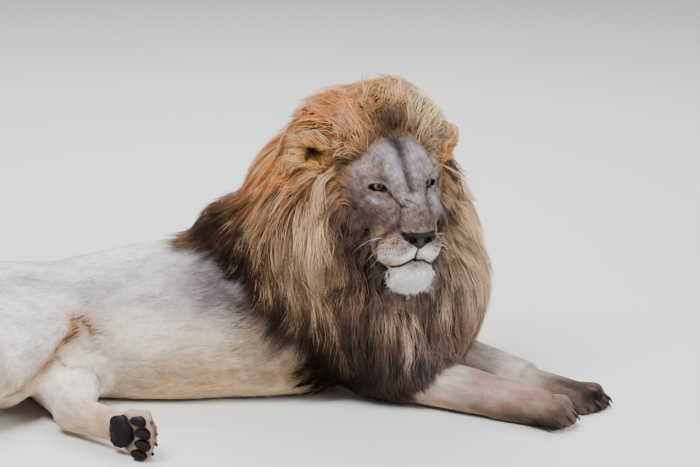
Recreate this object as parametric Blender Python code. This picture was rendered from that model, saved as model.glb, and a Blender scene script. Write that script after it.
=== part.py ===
"""A male lion at rest, life size: one solid for each part of the body that a person would name.

The chest lies upright on the elbows and both forelegs reach forward and to the lion's right. The loins roll
over on to the left hip, so that both hind feet come out on the right side. The head is raised and turned right.
Metres; +X runs along the trunk towards the head, +Y to the lion's left, +Z up, and the floor is at Z = 0.
The body is modelled whole, as overlapping muscles melted into one skin, and then parted with thin cuts.
"""

import math

import bmesh
import bpy
from mathutils import Matrix, Vector
from mathutils.bvhtree import BVHTree

UP = Vector((0, 0, 1))

# How the body is parted: the gap between two solids, and the gap left by a rough cut.
GAP = 0.0014
ROUGH_GAP = 3 * GAP
LAST_GAP = 0.0004
WELD = 0.00005

# How finely the body, the head and the feet are melted together.
BODY_VOXEL = 0.011
HEAD_VOXEL = 0.0055
PAW_VOXEL = 0.0045
DETAIL_VOXEL = 0.003
RING = 20

# The head's own frame lies midway between the pupils: +X out of the face, +Y to its left, +Z up.
HEAD_AT = Vector((0.114, -0.12, 0.508))
HEAD_YAW = 22.5
HEAD_PITCH = 14.0
HEAD_ROLL = -1.0

# Eyes: half the distance between them, their radius, and the almond between the lids.
EYE_APART = 0.0530
EYE_R = 0.0185
EYE_SINK = 0.018
EYE_DROP = 0.005
EYE_SPLAY = 20.0
LID_WIDE = 0.0215
LID_HIGH = 0.0112
LID_SLANT = 13.0

# Mouth and ears, in the head's own frame.
MOUTH_GAP = 0.0012
MOUTH_TOP = -0.115
MOUTH_CORNER = 0.012
EAR_AT = (-0.140, 0.146, 0.012)
EAR_SIZE = (0.022, 0.044, 0.043)
EAR_OUT = 42.0
EAR_LEAN = -12.0

# The joints of the legs as they lie.
SHOULDERS = {"right": (0.205, -0.005, 0.250), "left": (0.220, 0.170, 0.230)}
ELBOWS = {"right": (0.047, 0.020, 0.066), "left": (0.145, 0.180, 0.066)}
WRISTS = {"right": (0.314, -0.148, 0.046), "left": (0.394, -0.004, 0.033)}
FORETOES = {"right": (0.490, -0.246, 0.036), "left": (0.532, -0.093, 0.026)}
HIPS = {"right": (-0.830, 0.050, 0.185), "left": (-0.840, 0.100, 0.090)}
KNEES = {"right": (-0.800, -0.250, 0.115), "left": (-0.588, -0.015, 0.062)}
ANKLES = {"right": (-1.050, -0.400, 0.050), "left": (-0.575, -0.278, 0.048)}
HINDTOES = {"right": (-0.850, -0.560, 0.044), "left": (-0.380, -0.470, 0.050)}

# Thickness of the limbs, and the feet: width, and how far the knuckles lie from the wrist or hock.
FOREARM_R = (0.068, 0.051)
FOREPAW_WIDE = 0.125
FOREPAW_LONG = 0.025
HINDFOOT_WIDE = 0.094
HINDFOOT_LONG = 0.104
ANKLE_R = 0.044
TOES = (-1.5, -0.5, 0.5, 1.5)
TOE_R = 0.0215

# The trunk and the tail: x, y, z, half width, half height, and how far each station rolls over, in degrees.
TRUNK = [
    (-0.985, 0.140, 0.110, 0.060, 0.070, -75),
    (-0.900, 0.115, 0.128, 0.120, 0.140, -75),
    (-0.780, 0.090, 0.138, 0.142, 0.160, -72),
    (-0.660, 0.082, 0.136, 0.145, 0.165, -65),
    (-0.540, 0.078, 0.143, 0.152, 0.182, -55),
    (-0.430, 0.076, 0.152, 0.162, 0.192, -45),
    (-0.320, 0.076, 0.160, 0.168, 0.195, -35),
    (-0.180, 0.078, 0.200, 0.172, 0.205, -25),
    (-0.020, 0.088, 0.205, 0.170, 0.202, -20),
    (0.120, 0.095, 0.215, 0.140, 0.175, -15),
    (0.205, 0.095, 0.235, 0.075, 0.095, -10),
]
TAIL = [
    (-0.930, 0.150, 0.120, 0.050, 0.050, 0),
    (-1.040, 0.180, 0.062, 0.034, 0.034, 0),
    (-1.160, 0.205, 0.032, 0.027, 0.027, 0),
    (-1.290, 0.195, 0.025, 0.023, 0.023, 0),
    (-1.410, 0.135, 0.021, 0.019, 0.019, 0),
    (-1.500, 0.035, 0.019, 0.017, 0.017, 0),
    (-1.550, -0.060, 0.026, 0.026, 0.024, 0),
    (-1.575, -0.140, 0.032, 0.034, 0.030, 0),
    (-1.575, -0.220, 0.018, 0.014, 0.014, 0),
]

# About how many triangles each solid keeps.
FOOT_TRIANGLES = 270
BUDGET = {
    "head": 1700,
    "lower_jaw": 220,
    "nose": 170,
    "left_eye": 160,
    "right_eye": 160,
    "left_ear": 180,
    "right_ear": 180,
    "neck": 1200,
    "trunk": 900,
    "left_forearm": 180,
    "right_forearm": 180,
    "left_forepaw": 350,
    "right_forepaw": 350,
    "left_thigh": 260,
    "right_thigh": 290,
    "left_shank": 160,
    "right_shank": 160,
    "left_hind_foot": 520,
    "right_hind_foot": 340,
    "tail_root": 90,
    "tail_middle": 80,
    "tail_end": 70,
    "tail_tuft": 150,
}

# The finish of each solid, by the last word of its name that stands here: sRGB colour and roughness.
FINISHES = {
    "head": ((0.55, 0.49, 0.43), 0.9),
    "jaw": ((0.82, 0.78, 0.72), 0.9),
    "nose": ((0.16, 0.12, 0.12), 0.5),
    "eye": ((0.66, 0.48, 0.22), 0.15),
    "ear": ((0.62, 0.50, 0.36), 0.9),
    "neck": ((0.66, 0.48, 0.31), 0.95),
    "trunk": ((0.66, 0.60, 0.51), 0.9),
    "forearm": ((0.68, 0.58, 0.50), 0.9),
    "forepaw": ((0.64, 0.53, 0.45), 0.9),
    "thigh": ((0.68, 0.58, 0.46), 0.9),
    "shank": ((0.72, 0.62, 0.50), 0.9),
    "foot": ((0.74, 0.62, 0.48), 0.9),
    "tail": ((0.68, 0.58, 0.46), 0.9),
    "tuft": ((0.20, 0.15, 0.12), 0.95),
    "claw": ((0.42, 0.36, 0.30), 0.4),
    "pad": ((0.26, 0.19, 0.19), 0.8),
}


# ---------------------------------------------------------------- tools
def clear_scene():
    for obj in list(bpy.data.objects):
        bpy.data.objects.remove(obj)


def material(name, colour, roughness):
    """A plain Principled finish, from an sRGB colour."""
    found = bpy.data.materials.new(name)
    found.use_nodes = True
    shader = found.node_tree.nodes["Principled BSDF"]
    linear = [((c + 0.055) / 1.055) ** 2.4 for c in colour]
    shader.inputs["Base Color"].default_value = (*linear, 1)
    shader.inputs["Roughness"].default_value = roughness
    return found


def put(name, bm):
    """A new object that holds this bmesh."""
    mesh = bpy.data.meshes.new(name)
    bm.to_mesh(mesh)
    bm.free()
    obj = bpy.data.objects.new(name, mesh)
    bpy.context.scene.collection.objects.link(obj)
    return obj


def drop(*objs):
    for obj in objs:
        bpy.data.objects.remove(obj)


def settle(obj):
    """Makes what the modifiers give the object's own mesh."""
    bpy.context.view_layer.update()
    graph = bpy.context.evaluated_depsgraph_get()
    mesh = bpy.data.meshes.new_from_object(obj.evaluated_get(graph))
    obj.modifiers.clear()
    obj.data = mesh
    return obj


def basis(forward, up=UP):
    """Columns are forward, left and up, for a limb that points forward."""
    x = Vector(forward).normalized()
    y = Vector(up).cross(x).normalized()
    return Matrix((x, y, x.cross(y))).transposed()


def ball(centre, radii, turn=None, fine=3):
    """An ellipsoid, its radii along the columns of turn."""
    bm = bmesh.new()
    bmesh.ops.create_icosphere(bm, subdivisions=fine, radius=1)
    turn = (turn or Matrix.Identity(3)).to_4x4()
    place = Matrix.Translation(Vector(centre)) @ turn @ Matrix.Diagonal((*radii, 1))
    bmesh.ops.transform(bm, matrix=place, verts=bm.verts)
    return put("ball", bm)


def smooth_run(values, share):
    """Catmull-Rom through a list of tuples of numbers, share from 0 to 1 over the whole list."""
    last = len(values) - 1
    at = min(share * last, last - 1e-9)
    i = int(at)
    t = at - i
    four = [values[min(max(j, 0), last)] for j in (i - 1, i, i + 1, i + 2)]
    found = []
    for p, a, b, n in zip(*four):
        bend = 2 * p - 5 * a + 4 * b - n
        found.append(0.5 * (2 * a + (b - p) * t + bend * t * t + (3 * a - p - 3 * b + n) * t ** 3))
    return found


def loft(stations, steps=5, side=RING, up=UP):
    """A closed tube. A station is x, y, z, half width across, half height, roll in degrees."""
    bm = bmesh.new()
    count = (len(stations) - 1) * steps + 1
    runs = [smooth_run(stations, k / (count - 1)) for k in range(count)]
    rings = []
    for k, (x, y, z, wide, high, roll) in enumerate(runs):
        ahead = Vector(runs[min(k + 1, count - 1)][:3]) - Vector(runs[max(k - 1, 0)][:3])
        turn = basis(ahead, up) @ Matrix.Rotation(math.radians(roll), 3, "X")
        place = Matrix.Translation((x, y, z)) @ turn.to_4x4() @ Matrix.Rotation(math.pi / 2, 4, "Y")
        place = place @ Matrix.Diagonal((max(high, 1e-3), max(wide, 1e-3), 1, 1))
        made = bmesh.ops.create_circle(bm, segments=side, radius=1, matrix=place)
        rings.append(list({e for v in made["verts"] for e in v.link_edges}))
    for a, b in zip(rings, rings[1:]):
        bmesh.ops.bridge_loops(bm, edges=a + b)
    bmesh.ops.holes_fill(bm, edges=[e for e in bm.edges if e.is_boundary], sides=0)
    bmesh.ops.triangulate(bm, faces=bm.faces)
    bmesh.ops.recalc_face_normals(bm, faces=bm.faces)
    return put("loft", bm)


def bone(a, b, ra, rb, flat=1.0, up=UP):
    """A round-ended limb from a to b: flat below 1 makes it lower than it is wide."""
    a, b = Vector(a), Vector(b)
    bm = bmesh.new()
    turn = basis(b - a, up).to_4x4()
    for point, r in ((a, ra), (b, rb)):
        place = Matrix.Translation(point) @ turn @ Matrix.Diagonal((r, r, r * flat, 1))
        bmesh.ops.create_icosphere(bm, subdivisions=3, radius=1, matrix=place)
    made = bmesh.ops.convex_hull(bm, input=bm.verts)
    inner = made["geom_interior"] + made["geom_unused"]
    spare = [v for v in inner if isinstance(v, bmesh.types.BMVert)]
    bmesh.ops.delete(bm, geom=spare, context="VERTS")
    bmesh.ops.recalc_face_normals(bm, faces=bm.faces)
    return put("bone", bm)


def melt(name, shapes, voxel, smooth, triangles=0):
    """The shapes melted into one closed skin, smoothed, and thinned to about so many triangles."""
    bm = bmesh.new()
    for shape in shapes:
        bm.from_mesh(shape.data)
    drop(*shapes)
    obj = put(name, bm)
    remesh = obj.modifiers.new("melt", "REMESH")
    remesh.mode = "VOXEL"
    remesh.voxel_size = voxel
    soften = obj.modifiers.new("soften", "SMOOTH")
    soften.factor = 0.5
    soften.iterations = smooth
    settle(obj)
    if triangles:
        thin(obj, triangles)
    return obj


def thin(obj, triangles):
    """Thins a closed skin to about so many triangles, keeping its curved places finer."""
    bm = bmesh.new()
    bm.from_mesh(obj.data)
    bmesh.ops.remove_doubles(bm, verts=bm.verts, dist=WELD)
    bmesh.ops.dissolve_degenerate(bm, edges=bm.edges, dist=WELD)
    bmesh.ops.triangulate(bm, faces=bm.faces)
    bm.to_mesh(obj.data)
    bm.free()
    count = len(obj.data.polygons)
    modifier = obj.modifiers.new("thin", "DECIMATE")
    modifier.ratio = min(1.0, triangles / count)
    modifier.use_collapse_triangulate = True
    return settle(obj)


def boolean(obj, other, operation):
    modifier = obj.modifiers.new("cut", "BOOLEAN")
    modifier.operation = operation
    modifier.solver = "EXACT"
    modifier.object = other
    return settle(obj)


def copy_of(obj, name):
    twin = bpy.data.objects.new(name, obj.data.copy())
    bpy.context.scene.collection.objects.link(twin)
    return twin


def swollen(obj, by):
    """A copy of a closed shape, pushed out along its normals."""
    twin = copy_of(obj, "swollen")
    push = twin.modifiers.new("push", "DISPLACE")
    push.strength = by
    push.mid_level = 0
    return settle(twin)


def half_space(point, normal, reach=6.0):
    """A large box on the side of the plane that normal points to."""
    bm = bmesh.new()
    turn = Vector(normal).to_track_quat("Z", "Y").to_matrix().to_4x4()
    place = Matrix.Translation(Vector(point)) @ turn @ Matrix.Translation((0, 0, reach / 2))
    bmesh.ops.create_cube(bm, size=reach, matrix=place)
    return put("side", bm)


def largest(obj):
    """Drops all but the largest of the loose shells of an object."""
    bm = bmesh.new()
    bm.from_mesh(obj.data)
    left = set(bm.verts)
    shells = []
    while left:
        shell = {left.pop()}
        edge = set(shell)
        while edge:
            edge = {e.other_vert(v) for v in edge for e in v.link_edges} - shell
            shell |= edge
        left -= shell
        shells.append(shell)
    shells.sort(key=len)
    spare = [v for shell in shells[:-1] for v in shell]
    bmesh.ops.delete(bm, geom=spare, context="VERTS")
    bm.to_mesh(obj.data)
    bm.free()
    return obj


def cut(obj, *others, gap=GAP):
    """Takes the others, each a smooth closed shape grown by the gap, out of a solid."""
    for other in others:
        grown = swollen(other, gap)
        boolean(obj, grown, "DIFFERENCE")
        drop(grown)
    return largest(obj)


def keep(obj, point, normal, gap=GAP / 2):
    """Keeps the part of a solid on the side of a plane that its normal points to."""
    side = half_space(Vector(point) + Vector(normal).normalized() * gap, normal)
    boolean(obj, side, "INTERSECT")
    drop(side)
    return largest(obj)


def divide(obj, name, point, normal):
    """Parts a solid at a plane: what lies beyond it, along the normal, is a new solid of this name."""
    far = copy_of(obj, name)
    keep(far, point, normal)
    keep(obj, point, -Vector(normal))
    return far


def carve(whole, name, cutter):
    """Parts a solid with a closed cutter: what lies in the cutter is a new solid of this name."""
    piece = copy_of(whole, name)
    boolean(piece, cutter, "INTERSECT")
    cut(whole, cutter, gap=ROUGH_GAP)
    return largest(piece)


def in_frame(place, *shapes):
    for obj in shapes:
        obj.data.transform(place)
    return list(shapes)


def part_way(a, b, share):
    return Vector(a) + (Vector(b) - Vector(a)) * share


def tree_of(obj):
    bm = bmesh.new()
    bm.from_mesh(obj.data)
    tree = BVHTree.FromBMesh(bm)
    bm.free()
    return tree


clear_scene()

# ---------------------------------------------------------------- head
yaw = math.radians(HEAD_YAW)
pitch = math.radians(HEAD_PITCH)
HEAD_AHEAD = Vector((math.sin(yaw) * math.cos(pitch), -math.cos(yaw) * math.cos(pitch), -math.sin(pitch)))
HEAD_TURN = basis(HEAD_AHEAD) @ Matrix.Rotation(math.radians(HEAD_ROLL), 3, "X")
HEAD_PLACE = Matrix.Translation(HEAD_AT) @ HEAD_TURN.to_4x4()


def on_head(*shapes):
    """Moves shapes from the head's own frame to their place."""
    return in_frame(HEAD_PLACE, *shapes)


def both_balls(centre, radii, turn=None):
    """The same ellipsoid on both sides of the head's middle plane."""
    x, y, z = centre
    flip = Matrix.Diagonal((1, -1, 1))
    other = flip @ turn @ flip if turn else None
    return [ball((x, y, z), radii, turn), ball((x, -y, z), radii, other)]


def both_bones(a, b, ra, rb, flat=1.0):
    left = bone(a, b, ra, rb, flat)
    right = bone((a[0], -a[1], a[2]), (b[0], -b[1], b[2]), ra, rb, flat)
    return [left, right]


def head_shapes():
    shapes = [
        # Skull, forehead and the broad bridge of the nose.
        ball((-0.125, 0, 0.014), (0.095, 0.088, 0.080)),
        ball((-0.050, 0, 0.026), (0.068, 0.078, 0.050)),
        ball((0.002, 0, -0.004), (0.050, 0.046, 0.040)),
        bone((0.010, 0, -0.018), (0.078, 0, -0.049), 0.044, 0.041, 0.86),
        # Muzzle, lower jaw and chin.
        ball((0.040, 0, -0.085), (0.072, 0.060, 0.066)),
        bone((-0.09, 0, -0.115), (0.06, 0, -0.150), 0.062, 0.040),
        ball((0.086, 0, -0.160), (0.036, 0.050, 0.038)),
        ball((0.080, 0, -0.180), (0.034, 0.046, 0.032)),
    ]
    shapes += both_balls((0.084, 0.030, -0.100), (0.040, 0.031, 0.038))
    shapes += both_balls((0.044, 0.049, -0.118), (0.052, 0.027, 0.046))
    # Cheekbones, the muscles of the jaw, the brows, the lids and the cheeks below the eyes.
    shapes += both_balls((-0.078, 0.072, -0.038), (0.074, 0.049, 0.060))
    shapes += both_balls((-0.095, 0.060, -0.092), (0.068, 0.046, 0.066))
    shapes += both_bones((-0.030, 0.036, 0.026), (-0.040, 0.074, 0.012), 0.025, 0.024)
    shapes += both_balls((-0.022, EYE_APART + 0.003, -EYE_DROP), (0.027, 0.031, 0.024))
    shapes += both_balls((-0.012, 0.044, -0.060), (0.070, 0.046, 0.052))
    return shapes


head_whole = melt("head_whole", on_head(*head_shapes()), HEAD_VOXEL, 4, 1750)
head = copy_of(head_whole, "head")

# The lower jaw parts from the head along the line of the mouth, highest under the nose.
mouth = loft([(x, 0, MOUTH_TOP - 0.070, 0.060, 0.070, 0) for x in (MOUTH_CORNER, 0.08, 0.16, 0.24)], side=32)
on_head(mouth)
jaw = copy_of(head, "lower_jaw")
boolean(jaw, mouth, "INTERSECT")
largest(jaw)
cut(head, mouth, gap=MOUTH_GAP)
drop(mouth)

# Each eye looks out between lids that leave an almond open.
for side, name in ((1, "left_eye"), (-1, "right_eye")):
    splay = Matrix.Rotation(math.radians(EYE_SPLAY) * side, 4, "Z")
    place = HEAD_PLACE @ Matrix.Translation((-EYE_SINK, EYE_APART * side, -EYE_DROP)) @ splay
    slant = Matrix.Rotation(math.radians(LID_SLANT) * side, 3, "X")
    opening = ball((0.033, 0, -0.001), (0.036, LID_WIDE, LID_HIGH), slant, 3)
    in_frame(place, opening)
    boolean(head, opening, "DIFFERENCE")
    drop(opening)
    globe = ball((0, 0, 0), (EYE_R, EYE_R, EYE_R), None, 3)
    in_frame(place, globe)
    cut(head, globe)
    globe.name = name

# The nose pad: two wings over the nostrils and a wedge down to the split of the lip.
nose_shapes = both_balls((0.099, 0.023, -0.065), (0.021, 0.017, 0.013))
nose_shapes.append(ball((0.098, 0, -0.061), (0.026, 0.036, 0.016)))
nose_shapes.append(bone((0.106, 0, -0.066), (0.114, 0, -0.092), 0.013, 0.006))
nose = melt("nose", on_head(*nose_shapes), DETAIL_VOXEL, 3, 240)
cut(head, nose)

# Rounded ears, hollow in front, low on the sides of the skull.
ear_shells = []
for side, name in ((1, "left_ear"), (-1, "right_ear")):
    x, y, z = EAR_AT
    centre = Vector((x, y * side, z))
    turn = Matrix.Rotation(math.radians(EAR_OUT) * side, 3, "Z")
    turn = turn @ Matrix.Rotation(math.radians(EAR_LEAN) * side, 3, "X")
    stem = bone((x + 0.006, 0.075 * side, -0.004), (x, 0.125 * side, 0.008), 0.026, 0.026)
    shell = melt("ear_shell", on_head(ball(centre, EAR_SIZE, turn), stem), 0.004, 2, 280)
    ear = copy_of(shell, name)
    scoop = ball(centre + turn @ Vector((0.022, 0.002 * side, 0.002)), (0.025, 0.034, 0.033), turn)
    on_head(scoop)
    boolean(ear, scoop, "DIFFERENCE")
    drop(scoop)
    cut(ear, head_whole, gap=ROUGH_GAP)
    ear_shells.append(shell)

# ---------------------------------------------------------------- mane
mane_balls = [
    ball((-0.02, 0.06, 0.38), (0.22, 0.20, 0.22)),
    ball((0.09, 0.05, 0.34), (0.20, 0.20, 0.24)),
    ball((-0.07, 0.08, 0.30), (0.24, 0.19, 0.20)),
    ball((0.14, 0.03, 0.25), (0.17, 0.18, 0.19)),
    ball((0.09, -0.01, 0.17), (0.16, 0.15, 0.160)),
    ball((0.00, 0.02, 0.20), (0.15, 0.14, 0.150)),
    ball((-0.20, 0.09, 0.355), (0.145, 0.11, 0.085)),
    bone((0.020, 0.095, 0.560), (-0.050, 0.100, 0.420), 0.122, 0.185),
]
mane_balls += on_head(
    ball((-0.190, -0.040, 0.0), (0.080, 0.192, 0.155)),
    ball((-0.150, 0.005, 0.09), (0.070, 0.098, 0.104)),
    *both_balls((-0.145, 0.080, 0.062), (0.076, 0.068, 0.078)),
)
mane = melt("mane", mane_balls, BODY_VOXEL, 6, 1150)
neck = copy_of(mane, "neck")

# The mane stands clear of the face and of the front of each ear, and the head sits in it.
clear = both_balls((-0.085, 0.165, 0.012), (0.060, 0.055, 0.055))
clear.append(ball((0.050, 0, -0.055), (0.118, 0.100, 0.140)))
for shape in on_head(*clear):
    boolean(neck, shape, "DIFFERENCE")
    drop(shape)
pocket = thin(copy_of(head_whole, "pocket"), 600)
cut(neck, pocket, gap=ROUGH_GAP)
cut(neck, *ear_shells, gap=ROUGH_GAP)
drop(pocket, *ear_shells)

# ---------------------------------------------------------------- trunk, legs and tail
def grown_bone(a, b, ra, rb, by=0.014):
    return bone(a, b, ra + by, rb + by)


def limb(side):
    """The shapes of one hind leg, from hip to hock."""
    shapes = [(HIPS[side], KNEES[side], 0.115, 0.088), (KNEES[side], ANKLES[side], 0.078, 0.042)]
    if side == "left":
        shapes = [(HIPS[side], KNEES[side], 0.095, 0.062), (KNEES[side], ANKLES[side], 0.064, 0.042)]
        shapes.append(((-0.68, 0.0, 0.065), (-0.60, -0.20, 0.05), 0.060, 0.045))
    else:
        shapes.append(((-0.610, 0.00, 0.185), (-0.735, -0.190, 0.100), 0.052, 0.072))
    return shapes


def body_shapes():
    shapes = [loft(TRUNK), ball((-0.22, 0.045, 0.105), (0.32, 0.135, 0.118))]
    for side in ("right", "left"):
        shapes.append(bone(SHOULDERS[side], Vector(ELBOWS[side]) + UP * 0.015, 0.080, 0.066))
        shapes.append(bone(ELBOWS[side], WRISTS[side], *FOREARM_R))
        shapes += [bone(*line) for line in limb(side)]
    shapes += [
        bone((-0.13, 0.06, 0.36), SHOULDERS["right"], 0.055, 0.080),
        bone((-0.11, 0.15, 0.34), SHOULDERS["left"], 0.055, 0.080),
        ball((-0.75, -0.02, 0.16), (0.14, 0.13, 0.10)),
    ]
    return shapes


body = melt("trunk", body_shapes(), BODY_VOXEL, 6, 2000)

tail = loft(TAIL, steps=3, side=12)
tail.name = "tail_root"
cut(tail, body, gap=ROUGH_GAP)

# The legs leave the trunk at rounded cuts, then part at the knee, the wrist and the hock.
pieces = {}
for side in ("right", "left"):
    start = part_way(ELBOWS[side], WRISTS[side], -0.15)
    end = part_way(ELBOWS[side], WRISTS[side], 1.2)
    cutter = melt("cutter", [grown_bone(start, end, *FOREARM_R)], BODY_VOXEL, 2, 500)
    pieces[side + "_forearm"] = carve(body, side + "_forearm", cutter)
    drop(cutter)
for side, start in (("right", 0.25), ("left", 0.40)):
    lines = limb(side)
    lines[0] = (part_way(HIPS[side], KNEES[side], start), *lines[0][1:])
    cutter = melt("cutter", [grown_bone(*line) for line in lines], BODY_VOXEL, 2, 700)
    pieces[side + "_thigh"] = carve(body, side + "_thigh", cutter)
    drop(cutter)
    knee, ankle = Vector(KNEES[side]), Vector(ANKLES[side])
    at = part_way(knee, ankle, 0.12)
    pieces[side + "_shank"] = divide(pieces[side + "_thigh"], side + "_shank", at, ankle - knee)


def toe_tip(i, long):
    """How far a toe reaches: the outer two end behind the inner two."""
    return long + 0.150 - 0.008 * abs(i) ** 1.6


def foot(name, ankle, toes, up, long, wide, arm_r, flat=0.88):
    """A foot with its claws. Its own frame has the wrist or hock at the origin, toes along +X, sole down."""
    ahead = (Vector(toes) - Vector(ankle)).normalized()
    place = Matrix.Translation(Vector(ankle)) @ basis(ahead, Vector(up)).to_4x4()
    thick = wide * 0.36
    shapes = [bone((-0.02, 0, 0), (long + 0.075, 0, -0.004), arm_r, thick, flat)]
    for i in TOES:
        tip = toe_tip(i, long)
        step = wide * 0.235 * i
        knuckle = (long + 0.070, step * 0.85, -0.003)
        shapes.append(bone(knuckle, (tip - 0.026, step, 0.002), TOE_R, TOE_R))
        shapes.append(bone((tip - 0.028, step, -0.002), (tip - 0.002, step * 1.03, -0.020), TOE_R, 0.0165))
    made = melt(name, in_frame(place, *shapes), PAW_VOXEL, 2, 0)
    thin(made, FOOT_TRIANGLES)
    for number, i in enumerate(TOES, 1):
        tip = toe_tip(i, long)
        step = wide * 0.242 * i
        claw = loft(
            [
                (tip - 0.006, step, -0.003, 0.0032, 0.0048, 0),
                (tip + 0.010, step, -0.010, 0.0026, 0.0038, 0),
                (tip + 0.018, step, -0.018, 0.0009, 0.0013, 0),
            ],
            steps=1,
            side=6,
        )
        claw.name = f"{name}_claw_{number}"
        in_frame(place, claw)
        cut(made, claw)
    return made, place


for side in ("right", "left"):
    elbow, wrist = Vector(ELBOWS[side]), Vector(WRISTS[side])
    flat = 1.0 if side == "right" else 0.76
    name = side + "_forepaw"
    paw, place = foot(name, wrist, FORETOES[side], UP, FOREPAW_LONG, FOREPAW_WIDE, FOREARM_R[1], flat)
    at = part_way(elbow, wrist, 0.98)
    keep(paw, at, wrist - elbow)
    keep(pieces[side + "_forearm"], at, elbow - wrist)
    pieces[side + "_forepaw"] = paw
# The left hind foot lies on its outer edge, so that its sole faces outwards.
for side, up in (("right", UP), ("left", Vector((0.66, 0.75, 0)))):
    name = side + "_hind_foot"
    sole, place = foot(name, ANKLES[side], HINDTOES[side], up, HINDFOOT_LONG, HINDFOOT_WIDE, ANKLE_R)
    cut(pieces[side + "_shank"], sole, gap=ROUGH_GAP)
    pieces[name] = sole

# That sole shows its five bare pads.
heel = HINDFOOT_LONG + 0.058
lobes = [
    ball((heel + 0.010, 0.000, -0.026), (0.034, 0.027, 0.015)),
    ball((heel, 0.020, -0.024), (0.026, 0.015, 0.014)),
    ball((heel, -0.020, -0.024), (0.026, 0.015, 0.014)),
]
pads = {"main": melt("pad", lobes, DETAIL_VOXEL, 2, 120)}
for number, i in enumerate(TOES, 1):
    middle = (toe_tip(i, HINDFOOT_LONG) - 0.014, HINDFOOT_WIDE * 0.25 * i, -0.029)
    pads[f"toe_{number}"] = ball(middle, (0.022, 0.0108, 0.0125), None, 2)
for label, pad in pads.items():
    in_frame(place, pad)
    cut(sole, pad)
    pad.name = f"left_hind_foot_pad_{label}"

for obj in (pieces["right_forearm"], pieces["left_forearm"], body):
    cut(obj, mane, gap=ROUGH_GAP)

# The tail in lengths, ending in its tuft.
middle = divide(tail, "tail_middle", TAIL[3][:3], (-1, -0.2, 0))
end = divide(middle, "tail_end", TAIL[4][:3], (-0.75, -0.65, 0))
divide(end, "tail_tuft", TAIL[5][:3], (-0.4, -0.9, 0.1))
drop(mane, head_whole)

# ---------------------------------------------------------------- the whole
solids = list(bpy.data.objects)

# Everything rests on the floor, and each solid keeps only as many triangles as its shape needs.
for obj in solids:
    if obj.name in BUDGET:
        thin(obj, BUDGET[obj.name])
for obj in solids:
    if min(v.co.z for v in obj.data.vertices) < 0:
        keep(obj, (0, 0, 0), UP, 0)

# Where thinning has made two neighbours touch, the larger gives way.
solids.sort(key=lambda obj: obj.dimensions.length)
for i, small in enumerate(solids):
    for large in solids[i + 1 :]:
        if tree_of(large).overlap(tree_of(small)):
            cut(large, small, gap=LAST_GAP)

# The origin goes to the middle of the model's box, on the floor.
spots = [v.co for obj in solids for v in obj.data.vertices]
middle_x = (min(p.x for p in spots) + max(p.x for p in spots)) / 2
middle_y = (min(p.y for p in spots) + max(p.y for p in spots)) / 2
in_frame(Matrix.Translation((-middle_x, -middle_y, 0)), *solids)

for obj in solids:
    words = [word for word in obj.name.split("_") if word in FINISHES]
    colour, roughness = FINISHES[words[-1]]
    obj.data.materials.clear()
    obj.data.materials.append(material(obj.name + "_finish", colour, roughness))
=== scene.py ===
"""A maned lion at rest: the hide, its short coat, the mane, eyes, whiskers, pads and claws."""
import math

import bmesh
import bpy
import numpy as np
from mathutils import Matrix, Vector, kdtree
from mathutils.bvhtree import BVHTree


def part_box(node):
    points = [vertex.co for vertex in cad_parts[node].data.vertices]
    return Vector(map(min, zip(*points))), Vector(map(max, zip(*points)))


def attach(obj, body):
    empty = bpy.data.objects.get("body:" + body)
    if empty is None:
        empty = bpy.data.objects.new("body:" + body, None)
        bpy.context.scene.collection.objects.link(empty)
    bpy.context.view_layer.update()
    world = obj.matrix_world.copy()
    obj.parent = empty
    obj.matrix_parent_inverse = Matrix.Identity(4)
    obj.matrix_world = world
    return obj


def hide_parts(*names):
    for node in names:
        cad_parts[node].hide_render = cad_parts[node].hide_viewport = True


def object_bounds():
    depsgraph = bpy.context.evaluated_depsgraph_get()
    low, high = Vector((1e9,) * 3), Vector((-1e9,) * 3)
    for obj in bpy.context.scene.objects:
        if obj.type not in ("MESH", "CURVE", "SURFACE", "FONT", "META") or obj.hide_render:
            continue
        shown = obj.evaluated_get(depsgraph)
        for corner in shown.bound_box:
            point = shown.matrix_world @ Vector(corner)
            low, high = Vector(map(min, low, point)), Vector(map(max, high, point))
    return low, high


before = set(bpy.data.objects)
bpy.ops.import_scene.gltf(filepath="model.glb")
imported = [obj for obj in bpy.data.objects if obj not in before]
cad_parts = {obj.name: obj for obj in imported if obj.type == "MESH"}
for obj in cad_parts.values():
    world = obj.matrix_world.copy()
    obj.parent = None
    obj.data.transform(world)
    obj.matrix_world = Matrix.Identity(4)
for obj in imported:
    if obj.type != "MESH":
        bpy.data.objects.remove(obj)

cad_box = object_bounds()

# ---------------------------------------------------------------- stand
# Where the model is seen from: a camera low in front of the lion's right side, with a long lens, over a plain
# pale floor. The lion's own measures start from the head, whose frame lies midway between the pupils: x out
# of the face, y to the lion's left, z up.
HEAD_YAW = 22.5
HEAD_PITCH = 14.0
HEAD_ROLL = -1.0
EYE_SINK = 0.018
EYE_DROP = 0.005
HEAD_OVER_BODY = Vector((0.114, -0.12, 0.508))
CAMERA_RISE = 14.0
CAMERA_AWAY = 8.0
CAMERA_AIM = 0.3687
LENS = 191.3
SENSOR_WIDTH = 36
UP = Vector((0, 0, 1))


def middle(name):
    """The middle of a solid's box."""
    low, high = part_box(name)
    return (low + high) / 2


def put(name, data):
    """An object of this name, placed in the scene."""
    made = bpy.data.objects.new(name, data)
    bpy.context.scene.collection.objects.link(made)
    return made


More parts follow.
